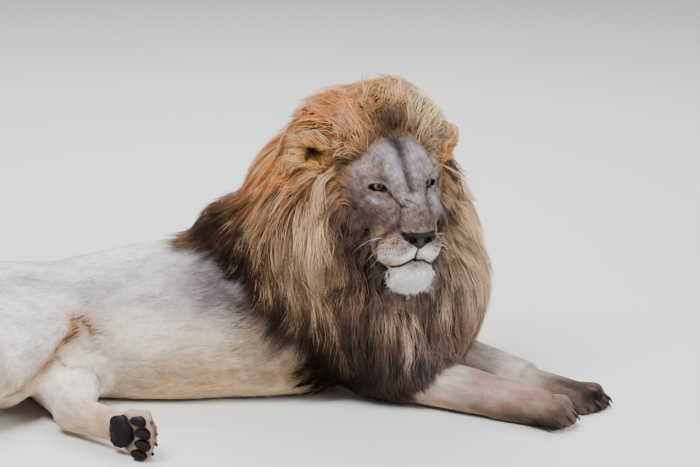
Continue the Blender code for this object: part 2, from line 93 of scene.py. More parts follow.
yaw, pitch = math.radians(HEAD_YAW), math.radians(HEAD_PITCH)
ahead = Vector((math.sin(yaw) * math.cos(pitch), -math.cos(yaw) * math.cos(pitch), -math.sin(pitch)))
left = UP.cross(ahead).normalized()
head_turn = Matrix((ahead, left, ahead.cross(left))).transposed()
head_turn = head_turn @ Matrix.Rotation(math.radians(HEAD_ROLL), 3, "X")
head_at = (middle("left_eye") + middle("right_eye")) / 2 + head_turn @ Vector((EYE_SINK, 0, EYE_DROP))
body_at = head_at - HEAD_OVER_BODY

rise = math.radians(CAMERA_RISE)
to_camera = Vector((0, -math.cos(rise), math.sin(rise)))
camera = put("camera", bpy.data.cameras.new("camera"))
camera.location = body_at + Vector((0, 0, CAMERA_AIM)) + to_camera * CAMERA_AWAY
camera.rotation_euler = (-to_camera).to_track_quat("-Z", "Y").to_euler()
camera.data.sensor_width = SENSOR_WIDTH
camera.data.lens = LENS
bpy.context.scene.camera = camera


def linear(text):
    """The linear colour of an sRGB hex value."""
    shares = [int(text[i:i + 2], 16) / 255 for i in (1, 3, 5)]
    return np.array([c / 12.92 if c <= 0.04045 else ((c + 0.055) / 1.055) ** 2.4 for c in shares])


def fill(tree, node, sockets):
    """Gives a node's sockets their values or links."""
    for name, value in sockets.items():
        if isinstance(value, bpy.types.NodeSocket):
            tree.links.new(value, node.inputs[name])
        else:
            node.inputs[name].default_value = value


def add(tree, kind, sockets=None, **fields):
    """Adds a shader node, sets its fields, and fills or links its sockets."""
    made = tree.nodes.new("ShaderNode" + kind)
    for name, value in fields.items():
        setattr(made, name, value)
    fill(tree, made, sockets or {})
    return made


def new_material(name):
    """A material with its node tree, and the Principled shader in it."""
    made = bpy.data.materials.new(name)
    made.use_nodes = True
    return made, made.node_tree, made.node_tree.nodes["Principled BSDF"]


def mesh_of(name, bm):
    """A mesh of this name made from a bmesh, which is freed."""
    made = bpy.data.meshes.new(name)
    bm.to_mesh(made)
    bm.free()
    return made


FLOOR_HALF = 14
bm = bmesh.new()
bmesh.ops.create_grid(bm, x_segments=1, y_segments=1, size=FLOOR_HALF)
mesh = mesh_of("floor", bm)
floor = put("floor", mesh)
floor_paint, tree, shader = new_material("pale_matt_floor")
fill(tree, shader, {"Base Color": (*linear("#d9d6d1"), 1), "Roughness": 0.9})
mesh.materials.append(floor_paint)

LIT_POINT = Vector((0.2, 0, 0.3))
world = bpy.data.worlds.new("studio")
bpy.context.scene.world = world
world.use_nodes = True
tree = world.node_tree
fill(tree, tree.nodes["Background"], {"Color": (0.93, 0.96, 1.0, 1), "Strength": 0.36})
for name, place, size, power in (
    ("key", (-1.3, -2.2, 4.4), 2.2, 430),
    ("fill", (3.6, -2.6, 2.4), 2.6, 220),
    ("rim", (0.2, 3.0, 3.4), 2.2, 260),
):
    lamp = bpy.data.lights.new(name, "AREA")
    lamp.size = size
    lamp.energy = power
    lamp_object = put(name, lamp)
    lamp_object.location = place
    lamp_object.rotation_euler = (LIT_POINT - Vector(place)).to_track_quat("-Z", "Y").to_euler()

# ---------------------------------------------------------------- hide
# The lion's skin, one closed surface from nose to tail. The solids of flesh are grown until their cuts close,
# and melted together. Then the skin is drawn in by the coat's depth: a millimetre or two on the face, and some
# three centimetres under the mane, whose solid reaches the tips of the hair.
CLOSE = 0.004
WELD = 0.00002
HIDE_VOXEL = 0.003
SOFTEN_ROUNDS = 12
EVEN_ROUNDS = 90
WEIGHT_STEPS = 20
BODY_TRIANGLES = 85000
MANE_DEPTH = 0.030
MANE_EDGE = 0.050
COAT_DEPTH = {
    "head": 0.0014, "jaw": 0.0020, "nose": 0.0002, "ear": 0.0020, "neck": 0.0060, "trunk": 0.0065,
    "forearm": 0.0045, "forepaw": 0.0025, "thigh": 0.0060, "shank": 0.0045, "foot": 0.0025, "tail": 0.0030,
    "tuft": 0.0100,
}
# How much the skin over each kind of solid is evened out.
EVENING = {
    "head": 0.1, "jaw": 0.1, "nose": 0.05, "ear": 0.1, "neck": 1.0, "trunk": 1.0, "forearm": 0.5,
    "forepaw": 0.15, "thigh": 0.8, "shank": 0.5, "foot": 0.15, "tail": 0.2, "tuft": 0.2,
}
separate = [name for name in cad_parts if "claw" in name or "pad" in name or name.endswith("_eye")]
flesh = [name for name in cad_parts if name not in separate]


def to_head(points):
    """Points as the head's own frame has them."""
    return (points - np.array(head_at)) @ np.array(head_turn)


def kind_of(name):
    """The last word of a node's name that the coat's table knows."""
    return [word for word in name.split("_") if word in COAT_DEPTH][-1]


def read(mesh):
    """A mesh's points and normals as arrays."""
    points = np.empty(len(mesh.vertices) * 3)
    mesh.vertices.foreach_get("co", points)
    normals = np.empty(len(mesh.vertices) * 3)
    mesh.vertices.foreach_get("normal", normals)
    return points.reshape(-1, 3), normals.reshape(-1, 3)


def move(mesh, points):
    """Moves a mesh's points to these places."""
    mesh.vertices.foreach_set("co", points.ravel())
    mesh.update()


def melt(obj, voxel):
    """Adds a step that melts what touches into one closed surface."""
    made = obj.modifiers.new("melt", "REMESH")
    made.mode = "VOXEL"
    made.voxel_size = voxel


def soften(obj, rounds, group=""):
    """Adds a smoothing of so many rounds, everywhere or by a group's weights."""
    made = obj.modifiers.new("soften", "SMOOTH")
    made.factor = 0.5
    made.iterations = rounds
    made.vertex_group = group


def settle(obj):
    """Makes what the modifiers give the object's own mesh."""
    bpy.context.view_layer.update()
    graph = bpy.context.evaluated_depsgraph_get()
    made = bpy.data.meshes.new_from_object(obj.evaluated_get(graph))
    obj.modifiers.clear()
    obj.data = made
    return made


def climb(value, span=1.0):
    """None below zero, one above the span, and even between."""
    return np.clip(value / span, 0, 1)


def solids_tree(names):
    """A search tree of the named solids, and the name that each of its triangles belongs to."""
    points, faces, owners = [], [], []
    for name in names:
        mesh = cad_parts[name].data
        start = len(points)
        points += [v.co.copy() for v in mesh.vertices]
        faces += [[start + i for i in polygon.vertices] for polygon in mesh.polygons]
        owners += [name] * len(mesh.polygons)
    return BVHTree.FromPolygons(points, faces), owners


bm = bmesh.new()
for name in flesh:
    bm.from_mesh(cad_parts[name].data)
bmesh.ops.remove_doubles(bm, verts=bm.verts, dist=WELD)
hide = put("hide", mesh_of("hide", bm))
grow = hide.modifiers.new("grow", "DISPLACE")
grow.strength = CLOSE
grow.mid_level = 0
melt(hide, HIDE_VOXEL)
soften(hide, SOFTEN_ROUNDS)
mesh = settle(hide)

flesh_tree, flesh_owner = solids_tree(flesh)
bare_tree, _ = solids_tree([name for name in flesh if name != "neck"])
nodes_in_order = sorted(flesh)
CHEEK = np.array([-0.014, 0.100, -0.080])
CHEEK_SIZE = 0.040
# The mane's rear border bends at this height, and lies this far behind the body's own point there. Its slopes
# below and above the bend follow.
BORDER_HIGH, BORDER_BACK = 0.30, 0.241
BORDER_BELOW, BORDER_ABOVE = 0.963, 2.4


def cheeks(points):
    """One on the short-haired cheeks, which bulge out into the mane, and nothing five centimetres away."""
    off = to_head(points)
    off[:, 1] = np.abs(off[:, 1])
    return np.exp(-((np.linalg.norm(off - CHEEK, axis=1) / CHEEK_SIZE) ** 4))


def in_mane(points):
    """How far points lie ahead of the mane's ragged rear border, which runs from the withers to the elbow."""
    x, y, z = (points - np.array(body_at)).T
    below = BORDER_HIGH - z
    ragged = 0.012 * np.sin(75 * z + 40 * y) + 0.008 * np.sin(110 * y - 50 * z)
    return x + BORDER_BACK - np.where(below > 0, BORDER_BELOW, BORDER_ABOVE) * below + ragged


def regions(points):
    """For each point, which solid it lies on, and how far it is in from the edge of the mane, from 0 to 1."""
    owner = np.empty(len(points), int)
    mane = np.zeros(len(points))
    for i, point in enumerate(points):
        name = flesh_owner[flesh_tree.find_nearest(point)[2]]
        owner[i] = nodes_in_order.index(name)
        if name == "neck":
            mane[i] = bare_tree.find_nearest(point)[3]
    mane = climb(mane - CLOSE, MANE_EDGE) * climb(in_mane(points) + 0.03, 0.05)
    return owner, mane * mane * (3 - 2 * mane) * (1 - cheeks(points))


def links_of(mesh):
    """The ends of each edge of a mesh."""
    ends = np.empty(len(mesh.edges) * 2, int)
    mesh.edges.foreach_get("vertices", ends)
    return ends.reshape(-1, 2)


def blur(values, ends, rounds):
    """Values at points, each mixed with its neighbours' for so many rounds."""
    values = values.reshape(len(values), -1)
    both = np.concatenate([ends, ends[:, ::-1]])
    size = len(values)
    count = np.maximum(np.bincount(both[:, 0], minlength=size), 1)
    for _ in range(rounds):
        sums = [np.bincount(both[:, 0], column[both[:, 1]], minlength=size) for column in values.T]
        values = 0.5 * values + 0.5 * np.stack(sums, axis=1) / count[:, None]
    return values.squeeze()


# Where the solids have large flat faces the skin is smoothed more, and under the mane most of all.
points, normals = read(mesh)
ends = links_of(mesh)
owner, mane = regions(points)
of_node = [kind_of(name) for name in nodes_in_order]
evened = blur(np.array([EVENING[kind] for kind in of_node])[owner], ends, 10)
group = hide.vertex_groups.new(name="evened")
for step in range(1, WEIGHT_STEPS + 1):
    held = np.flatnonzero(np.round(evened * WEIGHT_STEPS) == step)
    group.add(held.tolist(), step / WEIGHT_STEPS, "REPLACE")
soften(hide, EVEN_ROUNDS, group.name)
mesh = settle(hide)
points, normals = read(mesh)
inward = blur(normals, ends, 40)
inward /= np.linalg.norm(inward, axis=1)[:, None]
inward = normals + (inward - normals) * mane[:, None]
depth = blur(np.array([COAT_DEPTH[kind] for kind in of_node])[owner] + mane * MANE_DEPTH, ends, 12)
points -= inward * (CLOSE + depth)[:, None]
move(mesh, points)

# The face keeps its fine mesh, and the rest is thinned.
FACE_AT = (0.020, 0.0, -0.055)
FACE_SIZE = (0.150, 0.125, 0.170)


def in_ball(points, centre, radii):
    """How far out each point lies in an ellipsoid, 1 at its surface."""
    return np.sqrt((((points - centre) / radii) ** 2).sum(axis=1))


held = in_ball(to_head(points), FACE_AT, FACE_SIZE) < 1
body_part = hide.vertex_groups.new(name="body")
body_part.add(np.flatnonzero(~held).tolist(), 1.0, "REPLACE")
total = sum(len(polygon.vertices) - 2 for polygon in mesh.polygons)
thin = hide.modifiers.new("thin", "DECIMATE")
thin.ratio = BODY_TRIANGLES / total
thin.vertex_group = body_part.name
mesh = settle(hide)
hide.vertex_groups.clear()

# The front of the face is divided once more, for the lids, nose and lips.
FRONT_AT = (0.045, 0.0, -0.070)
FRONT_SIZE = (0.100, 0.090, 0.135)
points, normals = read(mesh)
front = in_ball(to_head(points), FRONT_AT, FRONT_SIZE) < 1
bm = bmesh.new()
bm.from_mesh(mesh)
bm.verts.ensure_lookup_table()
edges = [e for e in bm.edges if front[e.verts[0].index] and front[e.verts[1].index]]
bmesh.ops.subdivide_edges(bm, edges=edges, cuts=1, use_grid_fill=True)
bmesh.ops.triangulate(bm, faces=bm.faces)
bm.to_mesh(mesh)
bm.free()
for polygon in mesh.polygons:
    polygon.use_smooth = True


# Folds of the skin, in the head's own frame: a broken line, its width and how deep it is pressed in.
def mm(*places):
    """A line through places given in millimetres."""
    return [tuple(measure / 1000 for measure in place) for place in places]


def both(line):
    """A line on the lion's right half of the face, and the same on the left."""
    return [line, [(x, -y, z) for x, y, z in line]]


LIP = mm((52, -64, -158), (86, -50, -152), (101, -34, -142), (110, -18, -131), (114, 0, -123))
PHILTRUM = mm((109, 0, -102), (104.5, 0, -112), (102, 0, -120), (104, 0, -128))
TEAR = mm((14, -42, -10), (40, -38, -14), (66, -33, -20))
NASAL = mm((66, -33, -20), (74, -41, -36), (82, -45, -58))
MUZZLE_BACK = mm((82, -45, -58), (68, -62, -78), (54, -73, -104), (50, -68, -140))
UNDER_EYE = mm((14, -47, -24), (6, -62, -29), (-8, -76, -23))
LID_FOLD = mm((10, -38, 6), (0, -57, 13), (-14, -78, 8))
SCARS = [
    mm((58, -23, -6), (68, -10, -9), (76, -2, -9)),
    mm((67, -31, -18), (74, -18, -22)),
]
BROW = mm((4, -34, 16), (-4, -54, 24), (-20, -78, 18))
NOSTRIL = mm((117, -14, -80), (113, -23, -72), (101, -34, -70))
STRIPE = mm((-80, -10, 85), (-40, -9, 75), (-9, -12, 63), (27, -6, 28), (49, -5, 6))
FACE_FOLDS = []
for lines, width, fold_depth in (
    (both(LIP), 0.0026, 0.0050),
    (both(TEAR) + both(NASAL), 0.0040, 0.0030),
    (both(MUZZLE_BACK), 0.0080, 0.0030),
    (both(UNDER_EYE) + both(LID_FOLD), 0.0035, 0.0020),
    (SCARS, 0.0022, 0.0018),
    (both(NOSTRIL), 0.0040, 0.0080),
    (both(BROW), 0.0110, -0.0060),
    ([PHILTRUM], 0.0022, 0.0036),
    ([STRIPE], 0.0060, 0.0020),
):
    FACE_FOLDS += [(line, width, fold_depth) for line in lines]

# Folds of the loose skin of the flank and thigh, from the body's own point.
FLANK = mm((-591, -64, 203), (-587, -80, 168), (-637, -162, 120), (-689, -236, 82), (-735, -270, 60))
FLANK_BACK = mm((-580, -66, 212), (-562, -72, 183), (-537, -85, 146))
THIGH_EDGE = mm((-610, -75, 185), (-655, -150, 135), (-710, -240, 90))
BELLY_FOLD = mm((-617, -125, 136), (-560, -105, 95), (-516, -100, 53))
ELBOW_FOLD = mm((-170, -95, 190), (-107, -92, 145), (-55, -85, 100), (-20, -70, 60))
HOLLOW = mm((-600, 0, 300), (-592, -50, 260), (-588, -64, 215))
BODY_FOLDS = [
    (HOLLOW, 0.034, 0.009), (FLANK, 0.010, 0.014), (FLANK_BACK, 0.008, 0.009), (BELLY_FOLD, 0.009, 0.008),
    (ELBOW_FOLD, 0.014, 0.008), (THIGH_EDGE, 0.026, -0.007),
]


def near_line(points, line, width):
    """One on a broken line and falling to nothing about twice its width away."""
    line = np.array(line)
    share = np.zeros(len(points))
    inside = ((points > line.min(axis=0) - 3 * width) & (points < line.max(axis=0) + 3 * width)).all(axis=1)
    near = points[inside]
    least = np.full(len(near), np.inf)
    for start, end in zip(line, line[1:]):
        run = end - start
        along = climb((near - start) @ run, max(run @ run, 1e-12))
        least = np.minimum(least, np.linalg.norm(near - start - along[:, None] * run, axis=1))
    share[inside] = np.exp(-((least / width) ** 2))
    return share


# The lids close in on each globe and lie on it, the upper one lower and straighter than the CAD's opening.
LID_WIDE, LID_HIGH, LID_SLANT, EYE_SPLAY = 0.0215, 0.0112, 13.0, 20.0
LID_DROP = 0.001
LID_LEAN = 0.20
LID_SHUT = 0.25
LID_REACH = 2.4
LID_THICK = 0.0012
GLOBE_GAP = 0.0003


def turned(degrees, axis):
    """A turn about one axis."""
    return Matrix.Rotation(math.radians(degrees), 3, axis)


def eye_views(points):
    """For each eye, the points seen along its opening, how far out in the almond they lie, and its radius."""
    for side, name in ((1, "left_eye"), (-1, "right_eye")):
        axes = np.array(head_turn @ (turned(EYE_SPLAY * side, "Z") @ turned(LID_SLANT * side, "X")))
        low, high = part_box(name)
        seen = (points - np.array(middle(name))) @ axes
        almond = np.sqrt((seen[:, 1] / LID_WIDE) ** 2 + ((seen[:, 2] + LID_DROP) / LID_HIGH) ** 2)
        yield name, side, axes, seen, almond, min(high - low) / 2 - GLOBE_GAP


points, normals = read(mesh)
for name, side, axes, seen, almond, radius in eye_views(points):
    near = (seen[:, 0] > 0.002) & (seen[:, 0] < 0.045) & (almond < LID_REACH)
    pull = LID_SHUT * climb(LID_REACH - almond, 1.3) * near
    out, across, high = seen.T.copy()
    across *= 1 - pull * 0.55
    high -= np.where(high > -LID_DROP, 1.25, 0.75) * (high + LID_DROP) * pull
    high -= side * across * LID_LEAN * pull / LID_SHUT
    over = np.sqrt(np.maximum((radius + LID_THICK) ** 2 - across ** 2 - high ** 2, 0))
    out = np.where(near & (pull > 0.02), np.maximum(out, over), out)
    drawn = np.stack([out, across, high], axis=1)
    points = np.where(near[:, None], np.array(middle(name)) + drawn @ axes.T, points)
move(mesh, points)

points, normals = read(mesh)
ends = links_of(mesh)
smooth_normals = blur(normals, ends, 4)
skin_tree = BVHTree.FromPolygons(points.tolist(), [list(p.vertices) for p in mesh.polygons])
flat_face, flat_body = to_head(points), points - np.array(body_at)


def laid(line, turn=head_turn, at=head_at):
    """A line of the head's frame, or of another, laid on the skin."""
    steps = []
    for start, end in zip(line, line[1:]):
        count = max(1, int(math.dist(start, end) / 0.005))
        steps += [Vector(start).lerp(Vector(end), i / count) for i in range(count)]
    steps.append(Vector(line[-1]))
    found = np.array([skin_tree.find_nearest(turn @ step + at)[0] for step in steps])
    return (found - np.array(at)) @ np.array(turn)


def laid_on_body(line):
    """A line from the body's own point, laid on the skin."""
    return laid(line, Matrix.Identity(3), body_at)


press = np.zeros(len(points))
for line, width, fold_depth in FACE_FOLDS:
    press += near_line(flat_face, laid(line), width) * fold_depth
for line, width, fold_depth in BODY_FOLDS:
    press += near_line(flat_body, laid_on_body(line), width) * fold_depth
points -= smooth_normals * press[:, None]
move(mesh, points)

# What the coat needs to know of the hide: regions, the way the hair lies, and an unwrap of the skin.
BARE_MANE = 0.012
points, normals = read(mesh)
owner, mane = regions(points + normals * CLOSE)
mane = blur(mane, ends, 3)
kind = np.array(of_node)[owner]
kind[(kind == "neck") & (in_mane(points) < BARE_MANE)] = "trunk"
on_face, on_body = to_head(points), points - np.array(body_at)
short = np.isin(kind, ["head", "jaw", "nose", "ear"])


def unit(vectors):
    """Vectors at length one."""
    return vectors / np.maximum(np.linalg.norm(vectors, axis=-1), 1e-9)[..., None]


def way(a, b):
    """The direction from one solid's middle to another's."""
    return np.array((middle(b) - middle(a)).normalized())


WAYS = {"trunk": np.array([-1, 0, -0.25]), "nose": np.array([-1, 0, 0])}
for side in ("left_", "right_"):
    WAYS[side + "forearm"] = WAYS[side + "forepaw"] = way(side + "forearm", side + "forepaw")
    WAYS[side + "thigh"] = way(side + "thigh", side + "shank") + np.array([-0.6, 0, -0.3])
    WAYS[side + "shank"] = way(side + "shank", side + "hind_foot")
    WAYS[side + "hind_foot"] = way(side + "hind_foot", side + "hind_foot_claw_2")
    WAYS[side + "ear"] = np.array(head_turn @ Vector((-0.4, 1.0 if side == "left_" else -1.0, 0.5)))
for start, end in (("tail_root", "tail_middle"), ("tail_middle", "tail_end"), ("tail_end", "tail_tuft")):
    WAYS[start] = way(start, end)
WAYS["tail_tuft"] = WAYS["tail_end"]
flow = np.zeros((len(points), 3))
for i, name in enumerate(nodes_in_order):
    if name in WAYS:
        flow[owner == i] = WAYS[name] / np.linalg.norm(WAYS[name])
flow[kind == "trunk"] = unit(WAYS["trunk"])

# On the face the hair runs back from the nose. The mane springs outwards round the face, hangs down on the
# cheeks, throat and chest, and runs back along the neck.
NOSE_TIP, MOUTH = np.array([0.12, 0, -0.07]), np.array([0.112, 0, -0.130])
RING_SIZE = 0.15
HANGING = np.array([-0.05, -0.05, -1.0])
FORWARDS, BACKWARDS = np.array([1.0, 0, 0]), np.array([-1.0, 0, 0.35])
out_of_head = np.array(head_turn).T
x, y, z = on_body.T


def flat_to(normals, vectors):
    """Vectors without their part along the normals."""
    return vectors - normals * (vectors * normals).sum(axis=1)[:, None]


on_head = np.isin(kind, ["head", "jaw"])
flow[on_head] = (unit(on_face - NOSE_TIP) @ out_of_head)[on_head]
on_jaw = kind == "jaw"
from_mouth = unit((on_face - MOUTH) * np.array([0.6, 1, 1]) + np.array([0, 0, -0.01]))
flow[on_jaw] = (from_mouth @ out_of_head)[on_jaw]
outwards = on_face * np.array([0, 1, 1]) + np.array([0, 0, 0.03])
away = np.linalg.norm(outwards, axis=1)
outwards = outwards / np.maximum(away, 0.01)[:, None] + np.array([-0.35, 0, 0])
behind = climb(-0.10 - on_face[:, 0], 0.15)
above = climb(on_face[:, 2] + 0.02, 0.10)
ring = np.exp(-((away / RING_SIZE) ** 4)) * (1 - behind * 0.8) * (0.22 + 0.78 * above)
ring = np.maximum(ring, above * (1 - behind))
top_line = 0.42 + 0.9 * (x + 0.10)
hang = HANGING + (climb(0.05 - x, 0.25) * 0.25)[:, None] * FORWARDS
hang = hang + (climb(x - 0.10, 0.15) * 0.35)[:, None] * FORWARDS
hang = hang + (climb(z - top_line, 0.10) * climb(0.02 - x, 0.15))[:, None] * BACKWARDS
mane_flow = (outwards @ out_of_head) * ring[:, None] + hang * (1 - ring)[:, None]
on_neck = kind == "neck"
flow[on_neck] = mane_flow[on_neck]
flow = unit(flat_to(normals, blur(flow, ends, 12)))

bpy.context.view_layer.objects.active = hide
hide.select_set(True)
bpy.ops.object.mode_set(mode="EDIT")
bpy.ops.mesh.select_all(action="SELECT")
bpy.ops.uv.smart_project(angle_limit=math.radians(66), island_margin=0.002)
bpy.ops.object.mode_set(mode="OBJECT")
hide.select_set(False)
mesh = hide.data
mesh.uv_layers[0].name = "OFBake"


# The markings, for skin and hair alike. Each patch is a soft ball of colour: where and how large in mm, which
# colour and how strong. Each line of colour follows a fold: how wide, which colour and how strong.
def mixed(colour, tint, share):
    """Colours drawn towards a hex colour, or towards other colours, by each point's share."""
    goal = linear(tint) if isinstance(tint, str) else tint
    return colour + (goal - colour) * share[:, None]


def patches(points, colour, table):
    """Colours with a table of patches laid over them."""
    for centre, radii, tint, strength in table:
        off = (points - np.array(centre) / 1000) / (np.array(radii) / 1000)
        colour = mixed(colour, tint, strength * np.exp(-1.2 * (off ** 2).sum(axis=1)))
    return colour


def lined(points, colour, table, lay):
    """Colours with a table of lines laid over them."""
    for line, width, tint, strength in table:
        colour = mixed(colour, tint, strength * near_line(points, lay(line), width))
    return colour


def mirrored(table):
    """The same patches on both sides of the head."""
    return table + [((x, -y, z), radii, tint, strength) for (x, y, z), radii, tint, strength in table]


BODY_PATCHES = [
    ((-350, 50, 50), (600, 300, 90), "#c2ab8d", 0.8),
    ((-300, -100, 30), (400, 100, 50), "#a58766", 0.6),
    ((-420, -80, 180), (180, 120, 50), "#d8ccbb", 0.8),
    ((-360, -90, 140), (70, 100, 40), "#b79f80", 0.5),
    ((-480, -90, 240), (100, 100, 40), "#a8a2a6", 0.6),
    # The two pale patches along the top of the back and rump: the coat's own pale tone with painted highlight,
    # where the light from above falls on the back.
    ((-600, 0, 300), (350, 200, 50), "#d3cfd2", 0.7),
    ((-450, 0, 330), (200, 150, 50), "#e2dbdc", 0.7),
    ((-360, -40, 270), (160, 150, 80), "#948d95", 0.8),
    ((-290, -60, 280), (80, 200, 80), "#453a3c", 0.9),
    ((-230, -80, 220), (70, 200, 60), "#362b2b", 0.85),
    ((-200, -90, 150), (70, 200, 50), "#8b7259", 0.75),
    ((-130, -90, 80), (80, 200, 50), "#7c6049", 0.75),
    ((-570, -70, 185), (55, 60, 35), "#b0906f", 0.7),
    ((-300, -100, 100), (90, 80, 30), "#a98c6c", 0.55),
    ((-430, -100, 75), (60, 80, 25), "#9c7f62", 0.6),
    ((-700, -100, 200), (160, 160, 100), "#c9c8cf", 0.7),
    ((-560, -200, 80), (100, 120, 60), "#dcdad8", 0.8),
    ((-190, -90, 230), (60, 200, 70), "#2a2223", 0.9),
    ((-120, -90, 165), (70, 200, 60), "#2a2223", 0.9),
    ((-50, -70, 90), (70, 200, 60), "#221a1a", 0.9),
    ((180, -120, 100), (80, 80, 40), "#d3cbcc", 0.8),
    ((270, -150, 70), (90, 70, 50), "#9a8583", 0.9),
    ((200, -120, 105), (25, 30, 20), "#9c7d72", 0.6),
    ((300, -170, 95), (35, 40, 20), "#80574a", 0.75),
    ((280, -190, 20), (160, 80, 30), "#5a4238", 0.8),
    ((380, -210, 70), (90, 80, 50), "#7d6159", 0.95),
    # Near black low on the near foreleg, down to the floor: painted shadow where it rests on the floor.
    ((400, -250, 10), (140, 120, 35), "#1d1311", 0.95),
    ((450, -250, 50), (55, 90, 60), "#4e3a34", 0.9),
    # Near black at the floor by the near forepaw: painted shadow.
    ((420, -290, 20), (60, 70, 45), "#130d0d", 0.95),
    ((330, 20, 90), (120, 80, 40), "#a99fa1", 0.85),
    # Near black low between the forelegs, here and in the next two patches: painted shade in the gap between
    # the legs and under the chest.
    ((460, -70, 50), (80, 100, 60), "#2c2324", 0.95),
    ((540, -110, 40), (60, 100, 80), "#0d090a", 1.0),
    ((520, -100, 20), (80, 100, 50), "#0d090a", 0.9),
    ((-520, -360, 50), (100, 70, 60), "#b08c70", 0.9),
    ((-410, -440, 50), (60, 80, 70), "#6b5142", 0.9),
    ((-610, -290, 50), (50, 50, 50), "#d3bda8", 0.8),
]
# Colour along the body's folds. The wide tawny and rust bands of the flank fold are the coat's own colour; the
# grey line in the flank hollow and the dark lines in the folds of flank, belly and elbow are painted shade in
# the creases.
BODY_LINES = [
    (HOLLOW, 0.038, "#8d8790", 0.55),
    (FLANK[:4], 0.028, "#b3906c", 0.65),
    (FLANK[:3], 0.013, "#80592f", 0.75),
    (FLANK[:3], 0.006, "#55371f", 0.7),
    (FLANK[2:], 0.006, "#8a6c4d", 0.75),
    (FLANK_BACK, 0.012, "#8a6238", 0.7),
    (FLANK_BACK, 0.005, "#4d3320", 0.75),
    (BELLY_FOLD, 0.006, "#7d6a59", 0.6),
    (ELBOW_FOLD, 0.010, "#4a382d", 0.6),
]
FACE_PATCHES = mirrored([
    ((-20, -28, 55), (45, 26, 30), "#96929a", 0.85),
    ((22, -20, 28), (30, 15, 26), "#857c80", 0.75),
    ((-50, -80, 20), (50, 30, 35), "#8c7a77", 0.75),
    ((-10, -90, -30), (40, 30, 30), "#5d4b49", 0.85),
    # The dark cheeks and the back of the muzzle's side, in the next two patches too: dark fur with painted
    # shade where the cheek turns in under the mane.
    ((-14, -105, -80), (50, 40, 45), "#332828", 0.9),
    ((26, -72, -58), (36, 28, 36), "#3c2f31", 0.85),
    ((48, -52, -60), (16, 14, 30), "#4a3c3c", 0.7),
    ((12, -62, -28), (18, 18, 5), "#a7abb8", 0.6),
    ((58, -12, -4), (26, 22, 16), "#857a7e", 0.7),
    ((85, -15, -40), (26, 32, 18), "#4b3b37", 0.92),
    ((40, -45, -25), (20, 14, 12), "#5b4b49", 0.7),
    ((72, -62, -92), (32, 22, 20), "#a9835c", 0.85),
    ((96, -36, -118), (32, 28, 19), "#f0ece6", 1.0),
    ((112, -16, -108), (14, 15, 14), "#ffffff", 0.9),
    ((66, -64, -132), (26, 20, 18), "#cdb696", 0.8),
    ((88, -52, -143), (14, 14, 7), "#a8744a", 0.7),
    ((-2, -51, 33), (6, 4, 10), "#6b4a30", 0.35),
])
FACE_PATCHES += [
    ((-2, -52, 30), (8, 5, 10), "#5a3820", 0.9),
    ((4, -46, 22), (7, 5, 7), "#45301f", 0.8),
    ((-40, -6, 78), (24, 24, 18), "#2f2727", 0.75),
    ((-80, 0, 90), (30, 55, 22), "#241a17", 0.9),
    # Paler grey on the lion's left cheek and brow only: painted light on the side of the face that the light
    # falls on.
    ((20, 75, -30), (45, 30, 40), "#a7a1a2", 0.7),
    ((-10, 45, 32), (30, 22, 18), "#a89a92", 0.6),
    ((98, 0, -174), (50, 55, 30), "#f8f8f8", 1.0),
    ((112, -4, -134), (12, 16, 8), "#6e666a", 0.6),
]
FACE_LINES = [
    (STRIPE, 0.0085, "#1f1818", 0.75),
    (STRIPE[:3], 0.0170, "#2b2222", 0.55),
    (SCARS[0], 0.0020, "#221a1b", 0.9),
    (SCARS[1], 0.0018, "#2a2122", 0.8),
    (PHILTRUM, 0.0030, "#050304", 1.0),
]
for lines, width, tint, strength in (
    (both(TEAR), 0.0034, "#2a2022", 0.9),
    (both(NASAL), 0.0034, "#3d3130", 0.75),
    # Along the back of the muzzle: dark fur with painted shade where the cheek meets the mane, much darker on
    # the lion's right, the shaded side.
    (both(MUZZLE_BACK)[:1], 0.0110, "#2d211e", 0.85),
    (both(MUZZLE_BACK)[1:], 0.0110, "#5b4a44", 0.5),
    (both(LIP), 0.0030, "#0b0809", 1.0),
    (both(UNDER_EYE), 0.0030, "#5d4d4f", 0.6),
):
    FACE_LINES += [(line, width, tint, strength) for line in lines]
# The nose is bare: wide at the top, with a wing round each nostril, and a point at the lip's cleft. Its half
# width changes with the way down from the head's own point.
NOSE_DOWN = [0.056, 0.060, 0.068, 0.076, 0.084, 0.091, 0.098, 0.102]
NOSE_HALF = [0.024, 0.037, 0.042, 0.036, 0.022, 0.011, 0.004, 0.0]
NOSE_BACK, NOSE_SOFT = 0.076, 0.0022
MANE_PATCHES = [
    ((-100, 0, 500), (160, 300, 120), "#d98c48", 0.95),
    ((-170, 0, 450), (60, 250, 50), "#9a6640", 0.85),
    ((-80, -110, 370), (80, 140, 120), "#dcba98", 0.9),
    ((-40, -120, 380), (50, 100, 100), "#b08f70", 0.8),
    ((20, -120, 270), (80, 120, 120), "#4c3b31", 0.9),
    ((-280, 0, 390), (110, 250, 80), "#2b201b", 0.97),
    ((-250, -20, 290), (90, 350, 100), "#0c0707", 1.0),
    ((-170, -30, 200), (100, 350, 100), "#090505", 1.0),
    ((-70, -50, 130), (120, 350, 90), "#080505", 1.0),
    ((20, -60, 60), (130, 350, 80), "#060404", 1.0),
    ((30, -120, 140), (70, 140, 70), "#1b1313", 0.85),
    ((150, -130, 250), (100, 120, 100), "#8a7466", 0.8),
    ((160, -120, 90), (100, 200, 70), "#4a4046", 0.9),
    ((130, -130, 200), (60, 100, 60), "#83705f", 0.7),
    ((270, -30, 380), (80, 150, 140), "#d6b88f", 0.95),
    ((270, -40, 250), (90, 150, 100), "#9c8676", 0.85),
]
